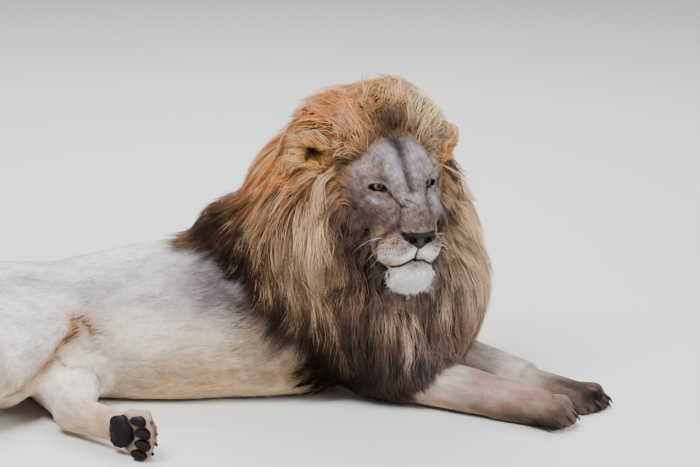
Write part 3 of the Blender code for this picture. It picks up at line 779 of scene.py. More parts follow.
CREST_PATCHES = [
    ((-140, 0, 120), (120, 200, 100), "#ecb47c", 0.9),
    ((-140, -130, 110), (80, 80, 60), "#e08b47", 0.8),
    ((-140, 100, 120), (100, 80, 100), "#f2d8b0", 0.9),
    ((-90, -8, 105), (55, 45, 50), "#33231b", 0.95),
    ((-150, -20, 200), (60, 90, 35), "#47372d", 0.75),
    ((-140, -150, 0), (40, 50, 40), "#c58e58", 0.8),
    ((-140, 150, 10), (50, 50, 40), "#e6cca6", 0.9),
    ((-90, -110, 15), (25, 30, 30), "#4a3224", 0.75),
    ((-20, -115, -100), (50, 50, 50), "#382b26", 0.8),
    ((-10, -100, -150), (50, 50, 50), "#2a201f", 0.85),
    ((50, -70, -190), (60, 50, 40), "#261c1b", 0.85),
    ((-20, 120, 0), (50, 30, 70), "#d29f62", 0.8),
]


def plain(tint, points):
    """One colour for all the points."""
    return np.tile(linear(tint), (len(points), 1))


def body_tint(on_body):
    """Buff below and greyer along the back, the grey partly a painted cool cast of shade, under the patches
    and folds.
    """
    high = climb(on_body[:, 2] - 0.08, 0.2)[:, None]
    colour = linear("#b5a38d") * (1 - high) + linear("#a79f9c") * high
    return lined(on_body, patches(on_body, colour, BODY_PATCHES), BODY_LINES, laid_on_body)


def face_tint(on_face):
    """Grey brown, under the patches and lines of the face."""
    return lined(on_face, patches(on_face, plain("#625350", on_face), FACE_PATCHES), FACE_LINES, laid)


def mane_tint(on_body, on_face):
    """Brown, under the patches of the body's side of the mane and then of its crest."""
    return patches(on_face, patches(on_body, plain("#745b4b", on_body), MANE_PATCHES), CREST_PATCHES)


WAVES, WAVE_SUM = 14, 3.7
TURN = 6.283


def mottling(points, size, seed):
    """A soft noise over the body, about -1 to 1, with lumps of this size."""
    waves = np.random.default_rng(seed)
    total = np.zeros(len(points))
    for _ in range(WAVES):
        wave = unit(waves.normal(size=3)) * TURN / size * waves.uniform(0.6, 1.6)
        total += np.sin(points @ wave + waves.uniform(0, TURN))
    return total / WAVE_SUM


def zone(rounds, *kinds):
    """One on solids of these kinds, with an edge blurred for so many rounds."""
    return blur(np.isin(kind, kinds) * 1.0, ends, rounds)


# The body is mottled in three sizes, with brown stains low on the trunk and on the forelegs, and the face is
# peppered where it isn't white.
uneven = 1 + 0.14 * mottling(points, 0.12, 1) + 0.14 * mottling(points, 0.035, 2)
uneven += 0.08 * mottling(points, 0.012, 5)
body_marks = body_tint(flat_body) * uneven[:, None]
stain = 0.5 * climb(mottling(points, 0.05, 6) - 0.4) * climb(0.24 - flat_body[:, 2], 0.1) * zone(6, "trunk")
body_marks = mixed(body_marks, "#80623f", stain)
scuff = 0.5 * climb(mottling(points, 0.035, 8) - 0.3) * zone(6, "forearm", "forepaw")
body_marks = mixed(body_marks, "#765449", scuff)
peppered = 1 + 0.24 * mottling(points, 0.022, 3) + 0.26 * mottling(points, 0.008, 4)
face_marks = face_tint(flat_face)
pale = climb(face_marks.mean(axis=1), 0.5)
face_marks *= (peppered + (1 - peppered) * pale ** 2)[:, None]

# The shares of body, face and mane at each point. The face darkens towards the mane, dark fur with painted
# shade under the mane's edge, and the skin under the mane is dark, which paints shade in the gaps between its
# locks.
on_cheek = cheeks(points) >= 0.5
on_mane = on_neck & ~on_cheek
shares = blur(np.stack([~short & ~on_neck, short | on_cheek, on_mane], axis=1) * 1.0, ends, 14)
shares /= np.maximum(shares.sum(axis=1), 1e-6)[:, None]
mane_marks = mane_tint(flat_body, flat_face)
edge_of_face = climb(blur(shares[:, 2], ends, 25) * 2.2)
face_marks *= 1 - 0.45 * edge_of_face[:, None]
face_marks = mixed(face_marks, mane_marks * 0.7, 0.5 * edge_of_face)
tints = body_marks * shares[:, :1] + face_marks * shares[:, 1:2] + mane_marks * 0.35 * shares[:, 2:]
EARS = np.array([middle("left_ear"), middle("right_ear")])
EAR_SLIT = to_head(EARS[1:])[0] + np.array([0.0, -0.016, 0.012])


def from_ears(points, ears):
    """How far each point lies from either ear's middle."""
    return np.array([np.linalg.norm(points - ear, axis=1) for ear in ears])


def ear_tint(on_body, on_face):
    """Dark inside the ear, painted shade of its hollow, golden at its rim and paler at the fringe."""
    off = from_ears(on_face, to_head(EARS)).min(axis=0)
    off = np.minimum(off, np.linalg.norm((on_face - EAR_SLIT) * np.array([0.6, 1, 1.3]), axis=1))
    rim = climb(off - 0.018, 0.014)[:, None]
    fringe = climb(off - 0.040, 0.015)[:, None]
    outside = linear("#c48d56") * (1 - fringe) + linear("#dfb582") * fringe
    return linear("#2b190f") * (1 - rim) + outside * rim


# The tail's tuft, the nose, the rims of the eyes and the spots of the lip are black.
# The ear's skin takes the ear's colours, darkened to six tenths; its dark inside is painted shade.
ear = zone(1, "ear")
tints = mixed(tints, ear_tint(flat_body, flat_face) * 0.6, ear)
tints = mixed(tints, "#1d1310", zone(3, "tuft"))
half = np.interp(-flat_face[:, 2], NOSE_DOWN, NOSE_HALF, left=0, right=0)
bare = climb((half - np.abs(flat_face[:, 1])) / NOSE_SOFT + 0.5) * (half > 0) * (flat_face[:, 0] > NOSE_BACK)
nose_patches = [
    ((118, 0, -80), (20, 12, 10), "#3f2b2c", 0.9),
    ((105, 0, -59), (20, 30, 5), "#2a1f1e", 0.8),
]
nose_tint = patches(flat_face, plain("#0a0707", points), nose_patches)
nose_tint = lined(flat_face, nose_tint, [(line, 0.0055, "#040304", 1.0) for line in both(NOSTRIL)], laid)
tints = mixed(tints, nose_tint, bare)
rims = np.zeros(len(points))
for name, side, axes, seen, almond, radius in eye_views(points):
    out, across, high = seen.T
    lid_line = high + LID_DROP + side * across * LID_LEAN
    drawn_in = np.sqrt((across / (LID_WIDE * 0.80)) ** 2 + (lid_line / (LID_HIGH * 0.72)) ** 2)
    rims = np.maximum(rims, ((out > 0) & (out < 0.040)) * climb(1.24 - drawn_in, 0.12))
tints = mixed(tints, "#0c0809", rims)
wet = np.maximum(bare, rims * 0.5)
SPOT_ROWS = [
    ((0.061, 0.069, -0.093), (0.100, 0.046, -0.073)), ((0.066, 0.070, -0.102), (0.113, 0.041, -0.082)),
    ((0.078, 0.066, -0.111), (0.119, 0.035, -0.091)), ((0.083, 0.060, -0.121), (0.119, 0.032, -0.101)),
]
SPOTS_IN_ROW, SPOT_SIZE = 7, 0.0022
spot = np.zeros(len(points))
spots_of_lip = []
for start, end in np.array(SPOT_ROWS):
    for share in np.linspace(0, 1, SPOTS_IN_ROW):
        for mirror in ((1, 1, 1), (1, -1, 1)):
            place = Vector((start + (end - start) * share) * mirror)
            found = to_head(np.array([skin_tree.find_nearest(head_turn @ place + head_at)[0]]))[0]
            spots_of_lip.append(found)
            spot = np.maximum(spot, np.exp(-(((flat_face - found) ** 2).sum(axis=1) / SPOT_SIZE ** 2)))
tints = mixed(tints, "#1c1413", spot * 0.95)



def mark(mesh, colours):
    """Stores a colour for each point of a mesh."""
    marks = mesh.color_attributes.new("marking", "FLOAT_COLOR", "POINT")
    marks.data.foreach_set("color", np.concatenate([colours, np.ones((len(colours), 1))], axis=1).ravel())


mark(mesh, tints)
wetness = mesh.attributes.new("wetness", "FLOAT", "POINT")
wetness.data.foreach_set("value", wet)

# Skin under short hair: matt, mottled over centimetres, with the grain of hair roots drawn 3 mm apart.
NOISE = {"From Min": 0.3, "From Max": 0.7}
skin, tree, shader = new_material("haired_hide")
place = add(tree, "TexCoord").outputs["Object"]
marking = add(tree, "Attribute", attribute_name="marking").outputs["Color"]
damp = add(tree, "Attribute", attribute_name="wetness").outputs["Fac"]
mottle = add(tree, "TexNoise", {"Vector": place, "Scale": 24.0, "Detail": 6.0, "Roughness": 0.7}).outputs[0]
shade = add(tree, "MapRange", {"Value": mottle, **NOISE, "To Min": 0.80, "To Max": 1.16}).outputs[0]
grain = add(tree, "TexNoise", {"Vector": place, "Scale": 330.0, "Detail": 3.0}).outputs["Fac"]
grain_shade = add(tree, "MapRange", {"Value": grain, **NOISE, "To Min": 0.86, "To Max": 1.12}).outputs[0]
both_shades = add(tree, "Math", {0: shade, 1: grain_shade}, operation="MULTIPLY").outputs[0]
colour = add(tree, "VectorMath", {0: marking, "Scale": both_shades}, operation="SCALE").outputs[0]
rough = add(tree, "MapRange", {"Value": damp, "To Min": 0.85, "To Max": 0.42}).outputs[0]
gleam = add(tree, "MapRange", {"Value": damp, "To Min": 0.10, "To Max": 0.22}).outputs[0]
bump = add(tree, "Bump", {"Height": grain, "Strength": 0.35, "Distance": 0.0015}).outputs["Normal"]
fill(tree, shader, {"Base Color": colour, "Roughness": rough, "Specular IOR Level": gleam, "Normal": bump})
mesh.materials.clear()
mesh.materials.append(skin)

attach(hide, "root")
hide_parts(*flesh)

# ---------------------------------------------------------------- eyes
# Wet globes with a round pupil in an amber iris, darker at its edge, and a clear cornea that stands a little
# proud. They sit in the lids, turned a little outwards and up.
EYE_TURN = {"right_eye": -13.0, "left_eye": 2.0}
EYE_LIFT = 7.0
IRIS = math.radians(36)
PUPIL = math.radians(12.5)
CORNEA = 0.05
eye_stuff, tree, shader = new_material("wet_eye")
angle = add(tree, "Attribute", attribute_name="gaze").outputs["Fac"]
place = add(tree, "TexCoord").outputs["Object"]
streak = add(tree, "TexNoise", {"Vector": place, "Scale": 900.0, "Detail": 2.0}).outputs["Fac"]
ramp = add(tree, "ValToRGB", {"Fac": angle})
stops = ramp.color_ramp.elements
stops[0].position, stops[0].color = 0.0, (0.003, 0.003, 0.003, 1)
stops[1].position, stops[1].color = 1.0, (*linear("#1d1412"), 1)
for place_of, tint in (
    (PUPIL * 0.95, "#010101"), (PUPIL * 1.05, "#35261a"), (IRIS * 0.60, "#6f5a3c"), (IRIS * 0.82, "#4a3826"),
    (IRIS * 0.94, "#17100b"), (IRIS * 1.03, "#090606"),
):
    stop = stops.new(place_of)
    stop.color = (*linear(tint), 1)
fleck = add(tree, "MapRange", {"Value": streak, **NOISE, "To Min": 0.7, "To Max": 1.25}).outputs[0]
colour = add(tree, "VectorMath", {0: ramp.outputs["Color"], "Scale": fleck}, operation="SCALE").outputs[0]
fill(tree, shader, {
    "Base Color": colour, "Roughness": 0.12, "Specular IOR Level": 0.1, "Coat Weight": 0.15,
    "Coat Roughness": 0.03,
})
for name in ("left_eye", "right_eye"):
    low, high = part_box(name)
    radius = min(high - low) / 2 - GLOBE_GAP
    gaze = head_turn @ turned(EYE_TURN[name], "Z") @ turned(-EYE_LIFT, "Y")
    bm = bmesh.new()
    bmesh.ops.create_uvsphere(bm, u_segments=64, v_segments=40, radius=radius)
    bmesh.ops.rotate(bm, verts=bm.verts, matrix=Matrix.Rotation(math.pi / 2, 3, "Y"))
    angles = []
    for vert in bm.verts:
        off = Vector((1, 0, 0)).angle(vert.co)
        angles.append(off)
        vert.co *= 1 + CORNEA * max(0.0, 1 - (off / IRIS) ** 2)
    bmesh.ops.transform(bm, verts=bm.verts, matrix=Matrix.Translation(middle(name)) @ gaze.to_4x4())
    for made in bm.faces:
        made.smooth = True
    mesh = mesh_of(name + "_globe", bm)
    mesh.attributes.new("gaze", "FLOAT", "POINT").data.foreach_set("value", angles)
    mesh.materials.append(eye_stuff)
    globe = put(name + "_globe", mesh)
    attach(globe, "root")
    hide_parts(name)

# ---------------------------------------------------------------- pads and claws
# Bare leathery pads under the left hind foot, whose sole shows, and horn claws at the toes' ends. Each is its
# own solid; the pads are rounded a little.
pad_leather, tree, shader = new_material("pad_leather")
place = add(tree, "TexCoord").outputs["Object"]
cells = add(tree, "TexVoronoi", {"Vector": place, "Scale": 420.0}).outputs["Distance"]
bump = add(tree, "Bump", {"Height": cells, "Strength": 0.35, "Distance": 0.0015}).outputs["Normal"]
fill(tree, shader, {
    "Base Color": (*linear("#0f0b0d"), 1), "Roughness": 0.70, "Specular IOR Level": 0.15, "Normal": bump,
})
claw_horn, tree, shader = new_material("claw_horn")
fill(tree, shader, {"Base Color": (*linear("#2b2220"), 1), "Roughness": 0.45, "Specular IOR Level": 0.2})
PAD_VOXEL = 0.0016
PAD_ROUNDS = 6
for name in separate:
    if name.endswith("_eye"):
        continue
    bm = bmesh.new()
    bm.from_mesh(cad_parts[name].data)
    bmesh.ops.remove_doubles(bm, verts=bm.verts, dist=WELD)
    mesh = mesh_of(name + "_made", bm)
    made = put(name + "_made", mesh)
    if "pad" in name:
        melt(made, PAD_VOXEL)
        soften(made, PAD_ROUNDS)
        mesh = settle(made)
    for polygon in mesh.polygons:
        polygon.use_smooth = True
    mesh.materials.clear()
    mesh.materials.append(pad_leather if "pad" in name else claw_horn)
    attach(made, "root")
    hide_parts(name)

# ---------------------------------------------------------------- mane
# Long coarse hair in locks of eleven strands. The locks grow outwards round the face and over the crest, hang
# down the sides and chest, and run back along the neck, where they are nearly black.
mesh = hide.data
mesh.calc_loop_triangles()
triangles = np.empty((len(mesh.loop_triangles), 3), dtype=np.int64)
mesh.loop_triangles.foreach_get("vertices", triangles.ravel())
corners = np.empty((len(mesh.loop_triangles), 3), dtype=np.int64)
mesh.loop_triangles.foreach_get("loops", corners.ravel())
unwrap = np.empty((len(mesh.loops), 2))
mesh.uv_layers[0].data.foreach_get("uv", unwrap.ravel())
one, two, three = points[triangles].transpose(1, 0, 2)
areas = np.linalg.norm(np.cross(two - one, three - one), axis=1) / 2
hide_tree = kdtree.KDTree(len(points))
for i, point in enumerate(points):
    hide_tree.insert(point, i)
hide_tree.balance()
dice = np.random.default_rng(7)
skin_normals = blur(normals, ends, 2)
skin_normals /= np.linalg.norm(skin_normals, axis=1)[:, None]
coat_depth = blur(np.array([COAT_DEPTH[word] for word in kind]) + mane * MANE_DEPTH, ends, 6)
RINGS = 6
HOLD = 0.35
PATCH = 0.003
LOWEST = 0.0008
BRIGHTEST = 0.8


def varied(spread, count):
    """Random shares around one, as a column."""
    return np.exp(dice.normal(0, spread, count))[:, None]


def scatter(count, weight):
    """Roots spread over the hide by area and weight: places, places on the unwrap and nearest points."""
    share = areas * weight[triangles].mean(axis=1)
    chosen = dice.choice(len(areas), count, p=share / share.sum())
    mix = dice.dirichlet((1, 1, 1), count)
    roots = (points[triangles[chosen]] * mix[:, :, None]).sum(axis=1)
    spots = (unwrap[corners[chosen]] * mix[:, :, None]).sum(axis=1)
    return roots, spots, triangles[chosen, mix.argmax(axis=1)]


def trace(roots, at, lengths, heights, wander, drop, lift):
    """Guides over the hide: from each root along the flow, at a height that grows towards the tip."""
    place = roots.copy()
    heading = unit(flow[at] + dice.normal(0, wander, roots.shape))
    bend = dice.normal(0, wander, roots.shape)
    path, ups = [], []
    for ring in range(RINGS):
        share = ring / (RINGS - 1)
        normal = skin_normals[at]
        tall = heights * (coat_depth[at] + lift) * (0.10 + 0.90 * share ** 0.8)
        path.append(place + normal * tall[:, None])
        ups.append(normal)
        heading = heading * (1 - HOLD) + (flow[at] + bend + np.array([0, 0, -drop * share])) * HOLD
        heading = unit(flat_to(normal, heading))
        place = place + heading * (lengths / (RINGS - 1))[:, None]
        at = np.array([hide_tree.find(point)[1] for point in place])
        normal = skin_normals[at]
        place = place - normal * ((place - points[at]) * normal).sum(axis=1)[:, None]
    return np.stack(path, axis=1), np.stack(ups, axis=1)


def locks(path, ups, each, spread, gather, wave, stray):
    """Strands round each guide: apart at the root, gathered towards the tip, each with its own wave."""
    count, rings = path.shape[:2]
    share = np.linspace(0, 1, rings)
    along = unit(np.gradient(path, axis=1))
    side = unit(np.cross(along, ups))
    path, ups, side, along = (np.repeat(a, each, axis=0) for a in (path, ups, side, along))
    across = dice.normal(0, spread, count * each)
    behind = dice.normal(0, spread, count * each)
    lift = np.abs(dice.normal(0, spread * 0.25, count * each))
    close = 1 - gather * share ** 0.7
    phase, turns = dice.uniform(0, 6.3, count * each), dice.uniform(0.6, 1.7, count * each)
    sway = np.sin(phase[:, None] + turns[:, None] * 6.3 * share) * share * wave
    fly = dice.normal(0, stray, (count * each, 2))
    cross = across[:, None] * close + sway + fly[:, :1] * share ** 1.5
    up = lift[:, None] * close + np.abs(fly[:, 1:]) * share ** 2 * 0.6
    made = path + side * cross[..., None] + ups * up[..., None] + along * (behind[:, None] * close)[..., None]
    return made, ups


def strands(name, path, ups, width, tints, unwraps, stuff, tip_light=1.40, root_shade=0.24):
    """One joined mesh of tapered three-sided strands, on the skin's unwrap, coloured from root to tip:
    darkened at the root, painted shade deep in the hair, and lightened at the tip, painted light on the outer
    hair.
    """
    count, rings = path.shape[:2]
    share = np.linspace(0, 1, rings)
    along = unit(np.gradient(path, axis=1))
    side = unit(np.cross(along, ups))
    over = np.cross(side, along)
    taper = np.minimum(1, 0.55 + share * 2.5) * (1 - share ** 2.2)
    wide = width[:, None] * taper
    angles = np.radians([90, 210, 330])
    body = path[:, :-1, None, :] + sum(
        axis[:, :-1, None, :] * (wide[:, :-1, None, None] * factor * turn[:, None])
        for axis, factor, turn in ((side, 0.5, np.cos(angles)), (over, 0.33, np.sin(angles)))
    )
    verts = np.concatenate([body.reshape(count, -1, 3), path[:, -1:, :]], axis=1)
    pattern = [(0, 1, 2)]
    for ring in range(rings - 2):
        low = ring * 3
        for i in range(3):
            j = (i + 1) % 3
            pattern += [(low + i, low + 3 + i, low + 3 + j), (low + i, low + 3 + j, low + j)]
    last = (rings - 2) * 3
    pattern += [(last + i, last + 3, last + (i + 1) % 3) for i in range(3)]
    at_ring = np.append(np.repeat(np.arange(rings - 1), 3), rings - 1)
    light = root_shade + (tip_light - root_shade) * (share[at_ring] ** 0.8)
    shades = tints[:, at_ring] * light[None, :, None]
    aside = np.append(np.tile([-0.5, 0, 0.5], rings - 1), 0)
    offset = np.stack([aside, at_ring / (rings - 1) - 0.5], axis=1) * PATCH
    return joined(name, verts, pattern, shades, unwraps[:, None, :] + offset, stuff)


def joined(name, verts, pattern, shades, spots, stuff, facing=None):
    """One mesh of many small like solids: their points, faces, colours and places on the unwrap."""
    count, each = verts.shape[:2]
    verts[..., 2] = np.maximum(verts[..., 2], LOWEST)
    faces = (np.array(pattern)[None] + (np.arange(count) * each)[:, None, None]).reshape(-1, 3)
    mesh = bpy.data.meshes.new(name)
    mesh.vertices.add(count * each)
    mesh.vertices.foreach_set("co", verts.ravel())
    mesh.loops.add(len(faces) * 3)
    mesh.loops.foreach_set("vertex_index", faces.ravel().astype(np.int32))
    mesh.polygons.add(len(faces))
    mesh.polygons.foreach_set("loop_start", np.arange(len(faces), dtype=np.int32) * 3)
    mesh.update(calc_edges=True)
    mesh.validate()
    mesh.polygons.foreach_set("use_smooth", np.ones(len(mesh.polygons), dtype=bool))
    shades = shades / np.maximum(shades.max(axis=2, keepdims=True) / BRIGHTEST, 1)
    mark(mesh, shades.reshape(-1, 3))
    layer = mesh.uv_layers.new(name="OFBake")
    layer.data.foreach_set("uv", spots.reshape(-1, 2)[faces.ravel()].ravel())
    if facing is not None:
        mesh.normals_split_custom_set_from_vertices(np.repeat(facing, each, axis=0))
    mesh.materials.append(stuff)
    made = put(name, mesh)
    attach(made, "root")
    return made


def hair_material(name, roughness, specular):
    """Hair: the strand's own colour, with a soft sheen along it."""
    made, tree, shader = new_material(name)
    colour = add(tree, "Attribute", attribute_name="marking").outputs["Color"]
    fill(tree, shader, {"Base Color": colour, "Roughness": roughness, "Specular IOR Level": specular})
    return made


mane_hair = hair_material("mane_hair", 0.55, 0.06)


def grown_hair(count, each, weight, lengths, heights, tint, shade, wander, drop, lift, *form):
    """Locks over part of the hide: their strands' paths, ways up, colours, places on the unwrap and roots."""
    roots, spots, at = scatter(count, weight)
    long = lengths[at] * dice.uniform(0.75, 1.25, count)
    path, ups = trace(roots, at, long, dice.uniform(*heights, count), wander, drop, lift)
    along = path.reshape(-1, 3)
    colours = tint(along - np.array(body_at), to_head(along)).reshape(count, RINGS, 3)
    colours = colours * 0.75 + colours.mean(axis=1, keepdims=True) * 0.25
    colours *= varied(shade, count)[:, None]
    made, made_ups = locks(path, ups, each, *form)
    colours = np.repeat(colours, each, axis=0) * varied(0.22, count * each)[:, None]
    spots = np.repeat(spots, each, axis=0) + dice.normal(0, 0.001, (count * each, 2))
    return made, made_ups, colours, spots, np.repeat(roots, each, axis=0)


# The locks lengthen with the way from the face, from 55 to 205 mm, and are shorter at the rear border, near
# the ears and over the forelegs. They keep clear of the ears, the cheeks and the floor.
SHORTEST, AT_FACE, LENGTHENS = 0.022, 0.055, 0.150
FACE_CORE, FACE_REACH, FAR_SPAN = np.array([0.02, 0, -0.05]), 0.10, 0.14
EAR_CLEAR = 0.045
LOCKS, EACH = 2520, 11
HEIGHTS = (0.70, 1.12)
MANE_SHADE, MANE_WANDER, MANE_DROP = 0.48, 0.14, 0.35
LOCK_SPREAD, LOCK_GATHER, LOCK_WAVE, LOCK_STRAY = 0.0095, 0.74, 0.006, 0.008
FAIR_SHARE = 0.24
THROAT_AT, THROAT_SIZE = (0.00, 0.0, -0.17), (0.11, 0.14, 0.09)
from_line = climb(np.linalg.norm(on_face - FACE_CORE, axis=1) - FACE_REACH, FAR_SPAN)
to_ears = from_ears(points, EARS)
to_ear = to_ears.min(axis=0)
hairy = climb(on_mane * (0.35 + mane)) * (1 - ear)
hairy *= 1 - climb(0.012 - points[:, 2], 0.01)
hairy *= climb(to_ear - EAR_CLEAR, 0.02) * (1 - climb(2.5 * cheeks(points)))
foreleg_tree, _ = solids_tree(["left_forearm", "right_forearm", "left_forepaw", "right_forepaw"])
to_foreleg = np.array([foreleg_tree.find_nearest(point)[3] for point in points])
rear = climb(-0.10 - on_body[:, 0], 0.12) * np.clip((0.40 - on_body[:, 2]) / 0.06, 0.65, 1)
keep = (1 - 0.60 * rear) * (0.40 + 0.60 * blur(mane, ends, 6)) * np.clip(to_ear / 0.10, 0.35, 1)
nearer = EARS[to_ears.argmin(axis=0)]
to_the_ear = (flow * unit(nearer - points)).sum(axis=1) > 0.3
mane_length = (AT_FACE + LENGTHENS * from_line) * keep
mane_length = np.minimum(mane_length, SHORTEST + 1.05 * to_foreleg)
short_of_ear = np.minimum(mane_length, np.maximum(SHORTEST, to_ear - EAR_CLEAR))
mane_length = np.where(to_the_ear, short_of_ear, mane_length)
made, ups, colours, spots, roots = grown_hair(
    LOCKS, EACH, hairy * (1.35 - 0.5 * from_line), mane_length, HEIGHTS, mane_tint, MANE_SHADE, MANE_WANDER,
    MANE_DROP, 0.0, LOCK_SPREAD, LOCK_GATHER, LOCK_WAVE, LOCK_STRAY)

# About every fourth lock of the upper mane is fair, but not at the rear border or the throat.
x, y, z = (roots - np.array(body_at)).T
fair = np.repeat(dice.random(LOCKS) < FAIR_SHARE, EACH) & (in_mane(roots) > 0.10) & (roots[:, 2] > 0.26)
fair &= (x > -0.18) & (in_ball(to_head(roots), THROAT_AT, THROAT_SIZE) >= 1)
colours[fair] = colours[fair] * 0.55 + linear("#eac59c") * 0.45
widths = dice.uniform(0.0013, 0.0027, LOCKS * EACH)
part = np.select([z > 0.53, x < -0.08, y > 0.045, z > 0.27], [0, 1, 2, 3], 4)
for i, name in enumerate(("mane_crest", "mane_neck", "mane_left", "mane_cheek", "mane_chest")):
    pick = part == i
    piece = strands(name, made[pick], ups[pick], widths[pick], colours[pick], spots[pick], mane_hair)

# ---------------------------------------------------------------- ruff, ears, chin, elbows and tail
# Hair of middling length: it leads from the face into the mane, fills and fringes the ears, stands out white
# under the lip, hangs black behind the elbows and ends the tail in a tuft.
CHIN_AT, CHIN_SIZE = np.array([0.098, 0, -0.176]), np.array([0.045, 0.040, 0.024])
ELBOW_AT, ELBOW_SIZE = np.array([0.00, -0.09, 0.07]), np.array([0.05, 0.06, 0.05])
ruffed = blur(shares[:, 1], ends, 14)
ruff = 4 * ruffed * (1 - ruffed) * (1 - ear) * (shares[:, 0] < 0.3) * (bare < 0.1)
x, y, z = flat_face.T
at_lip = sum(near_line(flat_face, laid(line), 0.006) for line in both(LIP))
chin = np.exp(-(((flat_face - CHIN_AT) / CHIN_SIZE) ** 2).sum(axis=1))
chin *= on_jaw & (np.abs(y) < 0.040) & (x > 0.065) & (z < -0.150) & (at_lip < 0.3)
elbow = np.exp(-(((flat_body - ELBOW_AT) / ELBOW_SIZE) ** 2).sum(axis=1))
elbow *= (points[:, 2] > 0.02) & np.isin(kind, ["trunk", "forearm"])
tuft = (kind == "tuft") * 1.0


def ruff_tint(on_body, on_face):
    """Between the face's own colour and the mane's."""
    return face_tint(on_face) * 0.35 + mane_tint(on_body, on_face) * 0.50


def one_tint(tint):
    """The same colour everywhere."""
    return lambda on_body, on_face: plain(tint, on_body)


WHITE, BLACK, BROWN = one_tint("#fbfaf8"), one_tint("#0a0606"), one_tint("#1d1310")
# For each: locks, strands in a lock, where, length, heights, spread, gathering, wander, width, colour, lift
# over the skin, the share of light at the root (painted shade), and the slot.
for name, count, each, weight, length, heights, spread, gather, wander, width, tint, lift, light, slot in (
    ("hair_ruff", 500, 9, ruff, 0.036, (0.5, 1.1), 0.006, 0.45, 0.25, 0.0013, ruff_tint, 0.008, 0.45, "mane"),
    ("hair_ears", 260, 8, ear, 0.036, (0.4, 1.2), 0.005, 0.6, 0.32, 0.0013, ear_tint, 0.012, 0.45, "mane"),
    ("hair_chin", 170, 8, chin, 0.014, (0.6, 1.2), 0.005, 0.3, 0.20, 0.0013, WHITE, 0.006, 0.9, "coat"),
    ("hair_elbows", 110, 8, elbow, 0.036, (0.6, 1.1), 0.007, 0.5, 0.20, 0.0018, BLACK, 0.006, 0.45, "mane"),
    ("hair_tail", 110, 9, tuft, 0.050, (0.5, 1.1), 0.006, 0.4, 0.25, 0.0020, BROWN, 0.006, 0.45, "mane"),
):
    made, ups, colours, spots, roots = grown_hair(
        count, each, weight, np.full(len(points), length), heights, tint, 0.2, wander, 0.0, lift,
        spread, gather, 0.002, 0.003)
    widths = dice.uniform(0.7, 1.3, count * each) * width
    piece = strands(name, made, ups, widths, colours, spots, mane_hair, root_shade=light)

# A pale lock hangs in front of each ear, over the rest of the mane.
TEMPLE = mm(
    (-98, -116, -16), (-90, -124, -32), (-81, -131, -49), (-72, -137, -66),
    (-63, -142, -83), (-56, -146, -99),
)
EACH_TEMPLE = 64
guides, ups, seats = [], [], []
for line in both(TEMPLE):
    for ring, step in enumerate(line):
        found, normal, _, _ = skin_tree.find_nearest(head_turn @ Vector(step) + head_at)
        guides.append(found + normal * (0.010 + 0.030 * (ring / (RINGS - 1)) ** 0.5))
        ups.append(normal)
    seats.append(unwrap[corners[(triangles == hide_tree.find(guides[-RINGS])[1]).any(axis=1).argmax(), 0]])
path, ups = np.array(guides).reshape(2, RINGS, 3), np.array(ups).reshape(2, RINGS, 3)
made, ups = locks(path, ups, EACH_TEMPLE, 0.0085, 0.50, 0.006, 0.012)
count = 2 * EACH_TEMPLE
colours = np.tile(linear("#dab48c"), (count, RINGS, 1)) * varied(0.4, count)[:, None]
spots = np.repeat(np.array(seats), EACH_TEMPLE, axis=0) + dice.normal(0, 0.001, (count, 2))
widths = dice.uniform(0.0010, 0.0018, count)
piece = strands("hair_temples", made, ups, widths, colours, spots, mane_hair, tip_light=1.25, root_shade=0.4)

# ---------------------------------------------------------------- whiskers
# Stiff white bristles from the dark spots of the upper lip, the same number on either side. They taper to
# fine tips and curve back and down.
WHISKERS = 7
WHISKER_WIDE = 0.0006
whisker, tree, shader = new_material("whisker")
fill(tree, shader, {"Base Color": (*linear("#f2efea"), 1), "Roughness": 0.35})
paths = []
for i in range(WHISKERS):
    for side in (-1, 1):
        start = np.array(spots_of_lip[(i * 9 + 3) % len(spots_of_lip)])
        start[1] = abs(start[1]) * side
        long = 0.036 + 0.006 * i
        share = np.linspace(0, 1, RINGS)[:, None]
        away = unit(np.array([-0.35 - 0.05 * (i % 3), side, 0.05 - 0.08 * (i % 4)]))
        fall = np.array([-0.20, -0.25 * side, -0.75 - 0.08 * (i % 3)])
        paths.append(start + long * (away * share + fall * share ** 2))
paths = np.stack(paths) @ out_of_head + np.array(head_at)
seats = np.array([unwrap[corners[0, 0]]] * len(paths))
ups = np.tile(np.array([0.0, -0.3, 1.0]), (len(paths), RINGS, 1))
widths = np.full(len(paths), WHISKER_WIDE)
colours = np.full((len(paths), RINGS, 3), 0.85)
piece = strands("whiskers", paths, ups, widths, colours, seats, whisker, tip_light=1.0, root_shade=0.9)

# ---------------------------------------------------------------- short coat
# Short flat hair over the body, legs and face: fine spikes that lie along it and overlap, 17 mm long on the
# trunk and 3 to 8 mm on the face and toes. It is coarser than in life: a spike stands for a tuft of hairs.
short_hair = hair_material("short_hair", 0.65, 0.06)
SHORT_LENGTH = {
    "head": 0.0065, "jaw": 0.0065, "nose": 0.0045, "ear": 0.010, "neck": 0.018, "trunk": 0.017,
    "forearm": 0.012, "forepaw": 0.0075, "thigh": 0.017, "shank": 0.012, "foot": 0.0075, "tail": 0.011,
    "tuft": 0.03,
}
SHORT_WANDER = 0.13
SPIKE_WIDE = 0.13
SPIKE_SUNK = 0.0004
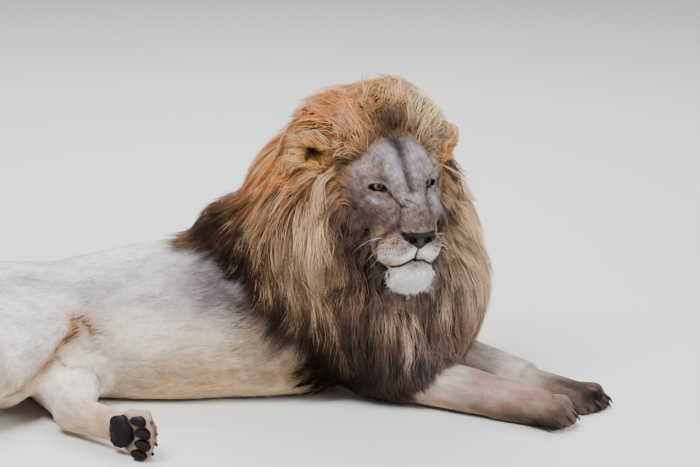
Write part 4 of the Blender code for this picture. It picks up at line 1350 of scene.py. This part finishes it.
# Spikes are a little darker at the root and lighter at the tip: painted shade at the skin and painted light at
# the tip.
SPIKE_LIGHT = np.array([0.95, 0.95, 1.0, 1.10])
SPIKE_FACES = [(0, 1, 2), (0, 2, 3), (2, 1, 3), (1, 0, 3)]
SPIKE_SPOTS = np.array([(-0.5, -0.5), (0.5, -0.5), (0, 0), (0, 0.5)]) * PATCH
hair_long = blur(np.array([SHORT_LENGTH[word] for word in kind]), ends, 6)
hair_long *= 1 - 0.5 * climb(flat_face[:, 0] - 0.05, 0.02)
lips = sum(near_line(flat_face, laid(line), 0.004) for line in both(LIP) + [PHILTRUM])
grown = (1 - climb(bare * 1.5)) * (1 - climb(rims * 1.5)) * (1 - climb(lips))
grown *= points[:, 2] > 0.004
grown = grown * (1 - 0.9 * hairy) / np.maximum(hair_long, 0.004)
forward = on_body[:, 0] > -0.30
on_face_part = shares[:, 1] > 0.5
for name, count, where, closer, change in (
    ("coat_face", 38000, on_face_part, 2.0, 0.30),
    ("coat_fore", 34000, forward & ~on_face_part, 1.6, 0.16),
    ("coat_rear", 39000, ~forward & ~on_face_part, 1.6, 0.16),
):
    roots, spots, at = scatter(count, grown ** closer * where)
    normal = skin_normals[at]
    heading = unit(flow[at] + dice.normal(0, SHORT_WANDER, roots.shape))
    heading = unit(flat_to(normal, heading))
    side = np.cross(heading, normal)
    long = (hair_long[at] * dice.uniform(0.7, 1.3, count))[:, None]
    wide = long * SPIKE_WIDE * dice.uniform(0.7, 1.3, count)[:, None]
    root = roots - normal * SPIKE_SUNK
    stand = long * 0.07 * dice.uniform(0.5, 1.3, count)[:, None]
    verts = np.stack([
        root - side * wide / 2,
        root + side * wide / 2,
        root + heading * long * 0.25 + normal * (SPIKE_SUNK + wide * 0.35),
        root + heading * long + normal * (SPIKE_SUNK + stand),
    ], axis=1)
    shades = (tints[at] * varied(change, count))[:, None, :] * SPIKE_LIGHT[:, None]
    piece = joined(name, verts, SPIKE_FACES, shades, spots[:, None, :] + SPIKE_SPOTS, short_hair, normal)

(low, high) = cad_box
